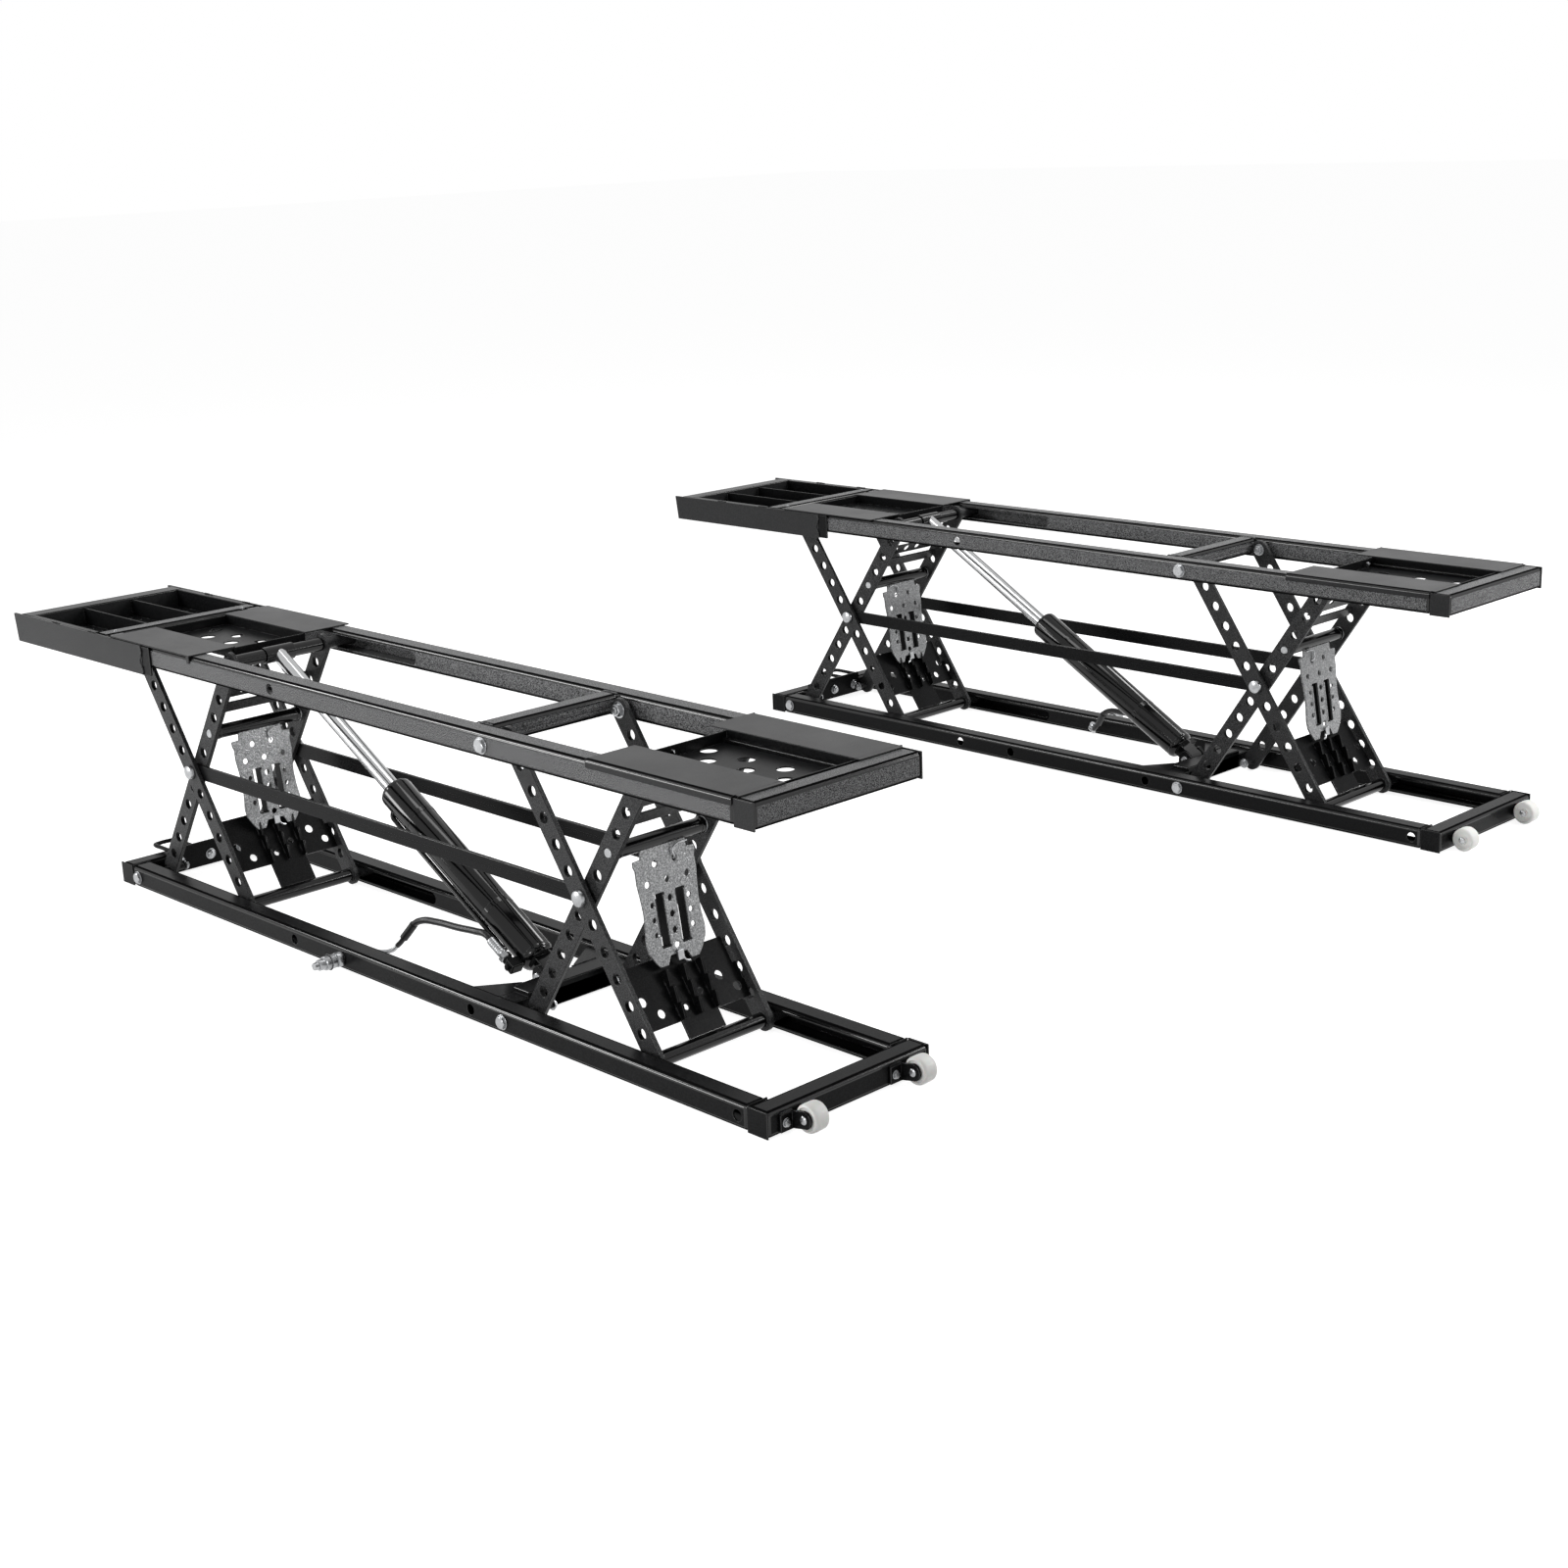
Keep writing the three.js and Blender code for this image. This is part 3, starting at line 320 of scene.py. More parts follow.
def fastener_tree():
    """Sets one fastener on each point, turned to the point's facing and scaled to its size."""
    tree = tree_named("fasteners", ("Fastener", "Object", None))
    n = Nodes(tree)
    given = n.add("NodeGroupInput").outputs
    facing = n.add("GeometryNodeInputNamedAttribute", {"Name": "facing"}, data_type="FLOAT_VECTOR")
    size = n.add("GeometryNodeInputNamedAttribute", {"Name": "size"}, data_type="FLOAT")
    turn = n.add("FunctionNodeAlignRotationToVector", {"Vector": facing.outputs["Attribute"]}, axis="Z")
    source = n.add("GeometryNodeObjectInfo", {"Object": given["Fastener"]})
    on_points = n.add("GeometryNodeInstanceOnPoints", {
        "Points": given["Geometry"], "Instance": source.outputs["Geometry"],
        "Rotation": turn, "Scale": size.outputs["Attribute"],
    })
    n.finish(on_points, given["Material"])
    return tree


def weld_bead_tree():
    """Lays overlapping beads, each a little different, along the edges of a line."""
    tree = tree_named("weld beads", ("Bead Radius", "Float", 2.2), ("Bead Pitch", "Float", 2.6),
                      ("Seed", "Int", 3))
    n = Nodes(tree)
    given = n.add("NodeGroupInput").outputs
    line = n.add("GeometryNodeMeshToCurve", {"Mesh": given["Geometry"]})
    spaced = n.add("GeometryNodeResampleCurve", {"Curve": line, "Length": given["Bead Pitch"]},
                   mode="LENGTH")
    bead = n.add("GeometryNodeMeshUVSphere", {"Segments": 8, "Rings": 4, "Radius": given["Bead Radius"]})
    smooth = n.add("GeometryNodeSetShadeSmooth", {"Geometry": bead.outputs["Mesh"]})
    tangent = n.add("GeometryNodeInputTangent")
    turn = n.add("FunctionNodeAlignRotationToVector", {"Vector": tangent}, axis="X")
    spread = n.add("FunctionNodeRandomValue", {"Seed": given["Seed"]}, data_type="FLOAT")
    spread.inputs[2].default_value = 0.75
    spread.inputs[3].default_value = 1.2
    beads = n.add("GeometryNodeInstanceOnPoints", {
        "Points": spaced, "Instance": smooth,
        "Rotation": turn, "Scale": spread.outputs[1],
    })
    n.finish(beads, given["Material"])
    return tree


def ridge_tree():
    """Straight grip ridges, evenly spaced round a collar about Z."""
    tree = tree_named("grip ridges", ("Ridge Count", "Int", 30), ("Collar Radius", "Float", 12.0),
                      ("Ridge Width", "Float", 1.2), ("Ridge Length", "Float", 14.0))
    n = Nodes(tree)
    given = n.add("NodeGroupInput").outputs
    ring = n.add("GeometryNodeCurvePrimitiveCircle",
                 {"Resolution": given["Ridge Count"], "Radius": given["Collar Radius"]})
    points = n.add("GeometryNodeCurveToPoints", {"Curve": ring.outputs["Curve"]}, mode="EVALUATED")
    size = n.add("ShaderNodeCombineXYZ",
                 {"X": given["Ridge Width"], "Y": given["Ridge Width"], "Z": given["Ridge Length"]})
    ridge = n.add("GeometryNodeMeshCube", {"Size": size})
    ridges = n.add("GeometryNodeInstanceOnPoints", {
        "Points": points.outputs["Points"], "Instance": ridge.outputs["Mesh"],
        "Rotation": points.outputs["Rotation"],
    })
    n.finish(ridges, given["Material"])
    return tree


plate_tree, fasten_tree, bead_tree, grip_tree = (
    perforated_plate_tree(), fastener_tree(), weld_bead_tree(), ridge_tree())


def grown(mesh, tree, **values):
    """The result of a tree on a mesh, as a bmesh."""
    obj = bpy.data.objects.new("seed", mesh)
    modifier = obj.modifiers.new("tree", "NODES")
    modifier.node_group = tree
    identifiers = {item.name: item.identifier for item in tree.interface.items_tree if item.in_out == "INPUT"}
    for label, value in values.items():
        modifier[identifiers[label.replace("_", " ")]] = value
    return evaluated(obj)


# The third material of every piece, on the walls of its holes: black coat as painted shade inside the holes,
# except on the hammered plate
HOLE_SHADE_WALL = 2


def plate(loops, holes, thickness, place=Matrix(), facets=24, edge=PLATE_EDGE):
    """A flat plate in the local UV plane, as thick as given along W. Holes are (u, v, radius)."""
    mesh = bpy.data.meshes.new("outline")
    points, edges = [], []
    for loop in loops:
        first = len(points)
        points += [(u, v, 0) for u, v in loop]
        edges += [(first + i, first + (i + 1) % len(loop)) for i in range(len(loop))]
    radii = [0.0] * len(points) + [float(r) for _, _, r in holes]
    points += [(u, v, 0) for u, v, _ in holes]
    mesh.from_pydata(points, edges, [])
    mesh.attributes.new("hole_radius", "FLOAT", "POINT").data.foreach_set("value", radii)
    bm = grown(mesh, plate_tree, Thickness=float(thickness), Hole_Facets=facets)
    for face in bm.faces:
        at = face.calc_center_median()
        if abs(face.normal.z) < 0.5 and any(math.hypot(at.x - u, at.y - v) < r + 0.1 for u, v, r in holes):
            face.material_index = HOLE_SHADE_WALL
    return mark_edges(moved(bm, place), edge)


def fasteners(kind, spots):
    """Fasteners at (x, y, z), each with its facing and its size."""
    mesh = bpy.data.meshes.new("spots")
    mesh.from_pydata([place for place, _, _ in spots], [], [])
    facing = [c for _, direction, _ in spots for c in direction]
    mesh.attributes.new("facing", "FLOAT_VECTOR", "POINT").data.foreach_set("vector", facing)
    mesh.attributes.new("size", "FLOAT", "POINT").data.foreach_set("value", [float(s) for _, _, s in spots])
    return mark_edges(grown(mesh, fasten_tree, Fastener=kind), 0)


def two_sides(x, y, z, size, far_size=None, inwards=False):
    """A fastener's spot on the near side of the runway, and the same on its far side."""
    facing = 1 if inwards else -1
    return [((x, y, z), (0, facing, 0), size), ((x, WIDTH - y, z), (0, -facing, 0), far_size or size)]


def welds(lines, radius=2.2, seed=3):
    mesh = bpy.data.meshes.new("seams")
    points, edges = [], []
    for line in lines:
        first = len(points)
        points += line
        edges += [(first + i, first + i + 1) for i in range(len(line) - 1)]
    mesh.from_pydata(points, edges, [])
    return grown(mesh, bead_tree, Bead_Radius=float(radius), Bead_Pitch=radius * 1.15, Seed=seed)


def fastener_shape(name, *profiles, hex_head=None):
    """A fastener that stands on Z = 0. The hex head is (foot, top, reach to its corners)."""
    shapes = [turned(p, sides=28, edge=0) for p in profiles]
    if hex_head:
        foot, top, reach = hex_head
        prism = turned([(foot, 0), (foot, reach), (top, reach), (top, 0)], sides=6, edge=0)
        crown = turned([(foot - 1, 0), (foot - 1, reach * 1.3), (top - reach * 0.2, reach * 1.02),
                        (top + reach * 0.02, reach * 0.78), (top + reach * 0.02, 0)], sides=36, edge=0)
        a = bpy.data.objects.new("prism", to_mesh(prism))
        b = in_scene(bpy.data.objects.new("crown", to_mesh(crown)))
        chamfer = a.modifiers.new("chamfer", "BOOLEAN")
        chamfer.operation = "INTERSECT"
        chamfer.object = b
        shapes.append(evaluated(a))
        bpy.data.objects.remove(b)
    obj = in_scene(bpy.data.objects.new(name, to_mesh(together(*shapes))))
    obj.hide_render = True
    return obj


pivot_head = fastener_shape("pivot_head", rod_profile(0, 1.4, 12.5, 0.3), hex_head=(1.4, 6.2, 11))
centre_head = fastener_shape(
    "centre_head", [(0, 0), (0, 11.5), (2.5, 11.5), (5.2, 10), (6.8, 6), (7.4, 0)])
lock_nut = fastener_shape(
    "lock_nut", rod_profile(0, 1.8, 12.5, 0.4), rod_profile(5, 11, 5.6, 1), hex_head=(1.8, 8.5, 9.6))
small_bolt = fastener_shape("small_bolt", rod_profile(0, 1, 7, 0.3), hex_head=(1, 4.3, 6))


# ---- finishes --------------------------------------------------------------------------------

def effect_group(name, inputs, outputs):
    group = bpy.data.node_groups.new(name, "ShaderNodeTree")
    for label, value in inputs:
        kind = "NodeSocketColor" if isinstance(value, tuple) else "NodeSocketFloat"
        group.interface.new_socket(label, in_out="INPUT", socket_type=kind).default_value = value
    for label, kind in outputs:
        group.interface.new_socket(label, in_out="OUTPUT", socket_type="NodeSocket" + kind)
    n = Nodes(group)
    return group, n, n.add("NodeGroupInput").outputs, n.add("ShaderNodeTexCoord").outputs["Object"]


def orange_peel_group():
    """The fine waviness of sprayed powder or paint, and its speckle."""
    group, n, given, place = effect_group(
        "orange peel", [("Size", 900.0), ("Height", 0.2), ("Detail", 3.0)],
        [("Normal", "Vector"), ("Speckle", "Float")])
    grain = n.add("ShaderNodeTexNoise", {"Vector": place, "Scale": given["Size"], "Detail": given["Detail"]})
    bump = n.add("ShaderNodeBump", {"Height": grain, "Strength": given["Height"], "Distance": 0.0006})
    spread = n.ramp(grain, 0.42, 0.6)
    n.add("NodeGroupOutput", {"Normal": bump, "Speckle": spread})
    return group


def edge_wear_and_highlight_group():
    """Where an edge is rubbed and where a painted highlight lines it: the rounded normal leaves the flat one
    there, broken up by noise.
    """
    group, n, given, place = effect_group(
        "edge wear", [("Width", 0.0015), ("Amount", 0.5), ("Breakup", 90.0)], [("Mask", "Float")])
    rounded = n.add("ShaderNodeBevel", {"Radius": given["Width"]}, samples=4)
    flat = n.add("ShaderNodeNewGeometry")
    turn = n.add("ShaderNodeVectorMath", {0: rounded, 1: flat.outputs["Normal"]}, operation="DOT_PRODUCT")
    bend = n.ramp(turn.outputs["Value"], 0.995, 0.85)
    noise = n.add("ShaderNodeTexNoise", {"Vector": place, "Scale": given["Breakup"], "Detail": 5.0})
    worn = n.math("MULTIPLY", bend, n.ramp(noise, 0.42, 0.62))
    mask = n.math("MULTIPLY", worn, given["Amount"])
    n.add("NodeGroupOutput", {"Mask": mask})
    return group


def handling_group():
    """Broad patches where hands, cloths and dust have changed the gloss."""
    group, n, given, place = effect_group(
        "handling marks", [("Patch Size", 6.0), ("Low", 0.3), ("High", 0.5)],
        [("Roughness", "Float"), ("Mask", "Float")])
    noise = n.add("ShaderNodeTexNoise", {"Vector": place, "Scale": given["Patch Size"], "Detail": 6.0,
                                         "Roughness": 0.62})
    clear = n.ramp(noise, 0.3, 0.7, given["Low"], given["High"])
    n.add("NodeGroupOutput", {"Roughness": clear, "Mask": noise})
    return group


def corner_film_group():
    """Where a rounded corner carries its bright film: below the upward part, down to the level one."""
    group, n, given, _ = effect_group(
        "corner film", [("Upper", 0.72), ("Lower", -0.2), ("Amount", 0.8)], [("Film", "Float")])
    normal = n.add("ShaderNodeTexCoord").outputs["Normal"]
    height = n.add("ShaderNodeSeparateXYZ", {0: normal}).outputs["Z"]
    upper = n.ramp(height, n.math("ADD", given["Upper"], 0.06), given["Upper"])
    lower = n.ramp(height, n.math("SUBTRACT", given["Lower"], 0.15), given["Lower"])
    film = n.math("MULTIPLY", n.math("MULTIPLY", upper, lower), given["Amount"])
    n.add("NodeGroupOutput", {"Film": film})
    return group


def hammer_group():
    """The rounded cells of hammered paint."""
    group, n, given, place = effect_group(
        "hammered cells", [("Cell Size", 420.0), ("Height", 0.6)], [("Normal", "Vector"), ("Cell", "Float")])
    warp = n.add("ShaderNodeTexNoise", {"Vector": place, "Scale": given["Cell Size"], "Detail": 1.0})
    cells = n.add("ShaderNodeTexVoronoi", {"Vector": place, "Scale": given["Cell Size"]}, feature="SMOOTH_F1")
    height = n.math("MULTIPLY", cells.outputs["Distance"], warp)
    bump = n.add("ShaderNodeBump", {"Height": height, "Strength": given["Height"], "Distance": 0.0012})
    shade = n.ramp(height, 0.0, 0.4)
    n.add("NodeGroupOutput", {"Normal": bump, "Cell": shade})
    return group


peel, wear_and_highlight, handling, hammered = orange_peel_group(), edge_wear_and_highlight_group(), handling_group(), hammer_group()
corner_film = corner_film_group()


class Finish:
    """A material with its Principled shader, and short ways to place effects in it."""

    def __init__(self, name, color, **values):
        self.material = bpy.data.materials.new(name)
        self.material.use_nodes = True
        self.n = Nodes(self.material.node_tree)
        self.shader = self.material.node_tree.nodes["Principled BSDF"]
        self.set("Base Color", (*color, 1))
        for label, value in values.items():
            self.set(label.replace("_", " "), value)

    def set(self, label, value):
        if isinstance(value, bpy.types.NodeSocket):
            self.material.node_tree.links.new(value, self.shader.inputs[label])
        else:
            self.shader.inputs[label].default_value = value

    def effect(self, group, **values):
        node = self.n.add("ShaderNodeGroup", node_tree=group)
        for label, value in values.items():
            node.inputs[label.replace("_", " ")].default_value = value
        return node.outputs

    def coat(self, color, marks, skin):
        """Joins the colour, the gloss of the handling marks and the normal of the skin to the shader."""
        self.set("Base Color", color)
        self.set("Roughness", marks["Roughness"])
        self.set("Normal", skin["Normal"])
        return self.material

    def mix(self, mask, color_a, color_b):
        """color_a where the mask is 0 and color_b where it is 1. Either may be another mix."""
        node = self.n.add("ShaderNodeMix", data_type="RGBA")
        self.material.node_tree.links.new(mask, node.inputs["Factor"])
        for slot, color in ((6, color_a), (7, color_b)):
            if isinstance(color, bpy.types.NodeSocket):
                self.material.node_tree.links.new(color, node.inputs[slot])
            else:
                node.inputs[slot].default_value = (*color, 1)
        return node.outputs[2]


def black_coat_finish(name, color, fleck, grain_size, grain, low, high, specular):
    """Sprayed black: its own speckle, orange peel and gloss, and edges lightened partly as rubbed wear and
    partly as a painted highlight.
    """
    finish = Finish(name, color, Specular_IOR_Level=specular)
    skin = finish.effect(peel, Size=grain_size, Height=grain, Detail=2.0)
    rubbed_and_lit = finish.effect(wear_and_highlight, Width=0.0013, Amount=0.75, Breakup=55.0)
    marks = finish.effect(handling, Patch_Size=5.0, Low=low, High=high)
    speckled = finish.mix(skin["Speckle"], color, fleck)
    # The light grey at the edges is partly rubbed wear and partly a painted highlight.
    return finish.coat(finish.mix(rubbed_and_lit["Mask"], speckled, (0.13, 0.132, 0.135)), marks, skin)


def rounded_edge_finish():
    """The rounded corners: black and without reflection above, as a painted dark line, and a thin glossy film
    below it, placed by the corner's facing to catch a bright line.
    """
    # No reflection on a corner's upper part: a painted dark line along every rounded edge.
    finish = Finish("rounded_edges", (0.003, 0.003, 0.0032), Specular_IOR_Level=0.0, Coat_Roughness=0.13)
    skin = finish.effect(peel, Size=700.0, Height=0.06, Detail=2.0)
    marks = finish.effect(handling, Patch_Size=11.0, Low=0.3, High=0.5)
    finish.set("Coat Weight", finish.effect(corner_film)["Film"])
    return finish.coat(finish.mix(marks["Mask"], (0.002, 0.002, 0.0022), (0.012, 0.012, 0.0123)), marks, skin)


black_coat = black_coat_finish(
    "smooth_black", (0.004, 0.0041, 0.0044), (0.01, 0.0102, 0.0106),
    grain_size=420.0, grain=0.12, low=0.25, high=0.34, specular=0.06)
cover_coat = black_coat_finish(
    "cover_black", (0.016, 0.0163, 0.017), (0.03, 0.0304, 0.031),
    grain_size=700.0, grain=0.1, low=0.3, high=0.4, specular=0.13)
# The top frame's coat: its grain is its own, while its flecks, far lighter than the other coats', are painted
# light for the stronger light falling on the top frame.
lit_textured_coat = black_coat_finish(
    "textured_black", (0.012, 0.0121, 0.0125), (0.3, 0.302, 0.306),
    grain_size=760.0, grain=0.5, low=0.32, high=0.42, specular=0.07)
leg_coat = black_coat_finish(
    "leg_black", (0.006, 0.0062, 0.0066), (0.09, 0.0905, 0.092),
    grain_size=900.0, grain=0.4, low=0.28, high=0.4, specular=0.09)
gloss_coat = black_coat_finish(
    "gloss_black", (0.0015, 0.0015, 0.0017), (0.0025, 0.0025, 0.0027),
    grain_size=420.0, grain=0.02, low=0.09, high=0.14, specular=0.32)
black_edges = rounded_edge_finish()


def hammered_grey_finish():
    finish = Finish("hammered_grey", (0.2, 0.205, 0.215), Metallic=0.55)
    cells = finish.effect(hammered, Cell_Size=430.0, Height=0.75)
    rubbed_and_lit = finish.effect(wear_and_highlight, Width=0.0012, Amount=0.6, Breakup=80.0)
    marks = finish.effect(handling, Patch_Size=9.0, Low=0.22, High=0.36)
    tone = finish.mix(cells["Cell"], (0.07, 0.072, 0.075), (0.42, 0.425, 0.43))
    # The edges lighten to the light tone, partly as rubbed wear and partly as a painted highlight.
    return finish.coat(finish.mix(rubbed_and_lit["Mask"], tone, (0.42, 0.425, 0.43)), marks, cells)


def bright_metal_finish(name, color, tint, low, high, grain, patch):
    finish = Finish(name, color, Metallic=1.0)
    skin = finish.effect(peel, Size=1500.0, Height=grain, Detail=2.0)
    marks = finish.effect(handling, Patch_Size=patch, Low=low, High=high)
    return finish.coat(finish.mix(marks["Mask"], color, tint), marks, skin)


def white_nylon_finish():
    finish = Finish("white_nylon", (0.8, 0.8, 0.77), Specular_IOR_Level=0.45, Subsurface_Weight=0.08,
                    Subsurface_Scale=0.004)
    skin = finish.effect(peel, Size=500.0, Height=0.12, Detail=2.0)
    marks = finish.effect(handling, Patch_Size=45.0, Low=0.3, High=0.5)
    return finish.coat(finish.mix(marks["Mask"], (0.92, 0.92, 0.9), (0.8, 0.8, 0.77)), marks, skin)


def hose_rubber_finish():
    finish = Finish("hose_rubber", (0.01, 0.01, 0.011), Specular_IOR_Level=0.22)
    skin = finish.effect(peel, Size=1400.0, Height=0.12, Detail=3.0)
    marks = finish.effect(handling, Patch_Size=14.0, Low=0.24, High=0.36)
    return finish.coat(finish.mix(skin["Speckle"], (0.008, 0.008, 0.009), (0.022, 0.022, 0.023)), marks, skin)


hammered_grey = hammered_grey_finish()
zinc = bright_metal_finish("zinc", (0.5, 0.51, 0.52), (0.22, 0.222, 0.228),
                           low=0.2, high=0.4, grain=0.12, patch=90.0)
chrome = bright_metal_finish("chrome", (0.5, 0.505, 0.51), (0.42, 0.425, 0.43),
                             low=0.1, high=0.16, grain=0.01, patch=12.0)
white_nylon = white_nylon_finish()
hose_rubber = hose_rubber_finish()

# Each finish: its material, the record's slot, and the material of its rounded edges
FINISHES = {
    "black_coat": (black_coat, "black_coat", black_edges),
    "gloss_coat": (gloss_coat, "black_coat", gloss_coat),
    "cover_coat": (cover_coat, "black_coat", black_edges),
    "lit_textured_coat": (lit_textured_coat, "black_coat", black_edges),
    "leg_coat": (leg_coat, "black_coat", black_edges),
    "hammered_grey": (hammered_grey, "hammered_grey", hammered_grey),
    "zinc": (zinc, "zinc", zinc),
    "chrome": (chrome, "chrome", chrome),
    "white_nylon": (white_nylon, "white_nylon", white_nylon),
    "hose_rubber": (hose_rubber, "hose_rubber", hose_rubber),
}


# ---- settling a piece on both runways --------------------------------------------------------

def runway_place(side):
    low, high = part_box(side + "_base_frame")
    if side == "near":
        return Matrix.Translation((low.x, low.y + CAP * MM, 0)) @ Matrix.Diagonal((MM, MM, MM, 1))
    return Matrix.Translation((low.x, high.y - CAP * MM, 0)) @ Matrix.Diagonal((MM, -MM, MM, 1))


PLACES = {side: runway_place(side) for side in ("near", "far")}


def settle(name, body, finish, shapes, nodes=(), bends=()):
    """Puts the shapes on both runways as one piece each, riding on its body.

    With bends given, its placement is baked into its mesh and it rides on no body.
    """
    source = to_mesh(together(*shapes))
    material, slot, edge_material = FINISHES[finish]
    for side, place in PLACES.items():
        mesh = source.copy()
        mesh.name = f"{side}_{name}_finished"
        mesh.transform(place)
        if side == "far":
            mesh.flip_normals()
        mesh.materials.append(material)
        mesh.materials.append(edge_material)
        # Hole walls: black coat as painted shade, except on the hammered plate.
        mesh.materials.append(material if finish == "hammered_grey" else black_coat)
        mesh.shade_smooth()
        mesh.set_sharp_from_angle(angle=SHARP)
        piece = in_scene(bpy.data.objects.new(mesh.name, mesh))
        bevel = piece.modifiers.new("edges", "BEVEL")
        bevel.limit_method = "WEIGHT"
        bevel.width = TUBE_CORNER * MM
        bevel.segments = 3
        bevel.material = 1
        bevel.use_clamp_overlap = False
        bevel.harden_normals = True
        if bends:
            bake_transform(piece)
        else:
            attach(piece, "base" if body == "base" else f"{side}_{body}")
        if nodes:
            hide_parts(*[f"{side}_{node}" for node in nodes])
    bpy.data.meshes.remove(source)


def standing(x, z, y1, angle=0.0):
    """U runs along a bar at the angle above X, V across it; thick from y1 towards the near side."""
    c, s = math.cos(angle), math.sin(angle)
    return Matrix(((c, -s, 0, x), (0, 0, -1, y1), (s, c, 0, z), (0, 0, 0, 1)))


def lying(x, z, offset=0.0, angle=0.0):
    """U runs along a bar at the angle above X, V across the runway; thick along its upward side."""
    c, s = math.cos(angle), math.sin(angle)
    return Matrix(((c, 0, -s, x - s * offset), (0, 1, 0, 0), (s, 0, c, z + c * offset), (0, 0, 0, 1)))


def rounded_bar(length, half, facets=10):
    steps = [math.pi * i / facets for i in range(facets + 1)]
    left = [(-half * math.sin(a), half * math.cos(a)) for a in steps]
    right = [(length + half * math.sin(a), -half * math.cos(a)) for a in steps]
    return left + right


def rectangle(u0, u1, v0, v1):
    return [(u0, v0), (u1, v0), (u1, v1), (u0, v1)]


def rounded_rectangle(u0, u1, v0, v1, radius, facets=5):
    corners = [(u1 - radius, v1 - radius, 0), (u0 + radius, v1 - radius, 1),
               (u0 + radius, v0 + radius, 2), (u1 - radius, v0 + radius, 3)]
    turns = [(u, v, math.pi / 2 * (q + i / facets)) for u, v, q in corners for i in range(facets + 1)]
    return [(u + radius * math.cos(a), v + radius * math.sin(a)) for u, v, a in turns]


# ---- frames ----------------------------------------------------------------------------------

def rail(z0, y0, y1, inner_near, round_holes):
    """A square tube with roller slots in its inner wall and round holes in its outer one."""
    z1 = z0 + TUBE
    zc = z0 + TUBE / 2
    inner_wall = (y1 - WALL - 3, y1 + 3) if inner_near else (y0 - 3, y0 + WALL + 3)
    outer_wall = (y0 - 3, y0 + WALL + 3) if inner_near else (y1 - WALL - 3, y1 + 3)
    cutters = [box(TUBE - 5, LENGTH - TUBE + 5, y0 + WALL, y1 - WALL, z0 + WALL, z1 - WALL, 0)]
    for pivot in (LEFT, RIGHT):
        bar = rounded_bar(SLOT_END - SLOT_START - 2 * SLOT_HALF, SLOT_HALF)
        place = standing(pivot + SLOT_START + SLOT_HALF, zc, inner_wall[1])
        cutters.append(plate([bar], [], inner_wall[1] - inner_wall[0], place, edge=0))
    cutters += [cross_rod(x, zc, r, *outer_wall, sides=32, chamfer=0) for x, r in round_holes]

    def width(edge):
        a, b = edge.verts[0].co, edge.verts[1].co
        on_side = all(min(abs(v.y - y0), abs(v.y - y1)) < 0.01 for v in (a, b))
        on_face = all(min(abs(v.z - z0), abs(v.z - z1)) < 0.01 for v in (a, b))
        return TUBE_CORNER if on_side and on_face else PLATE_EDGE

    return cut(box(TUBE + 0.1, LENGTH - TUBE - 0.1, y0, y1, z0, z1, 0), cutters, width)


def rails(z0, round_holes):
    return [rail(z0, 0, TUBE, True, round_holes), rail(z0, WIDTH - TUBE, WIDTH, False, round_holes)]


def end_member(x0, z0):
    return tube_box(x0, x0 + TUBE, 0, WIDTH, z0, z0 + TUBE)


def end_caps(x0, z0):
    """Plates welded over the ends of a square tube, a little larger than it."""
    z1 = z0 + TUBE + 0.3
    return both(-CAP, 2, lambda y0, y1: box(x0 - 0.3, x0 + TUBE + 0.4, y0, y1, max(z0 - 1, 0.2), z1, 0.9))


LOCK_HOLES = [(LEFT + LOW_RUN, 9), (RIGHT + LOW_RUN, 9)]


def ear(y0, y1):
    arc = [(FOOT_X + 18 * math.cos(a), FOOT_Z + 18 * math.sin(a))
           for a in (math.pi / 2 + math.pi / 2 * i / 8 for i in range(9))]
    loop = [(RIGHT - 67, 2), (RIGHT - 67, 40)] + arc + [(FOOT_X - 18, 2)]
    return plate([loop], [(FOOT_X, FOOT_Z, 8.4)], y1 - y0, standing(0, 0, y1))


def gusset(near):
    across = (lambda y: y) if near else (lambda y: WIDTH - y)
    x1 = RIGHT - 67
    loop = [(x1 - 76, across(39)), (x1, across(39)), (x1, across(117)), (x1 - 25, across(111))]
    return plate([loop], [], 4, lying(0, 28))


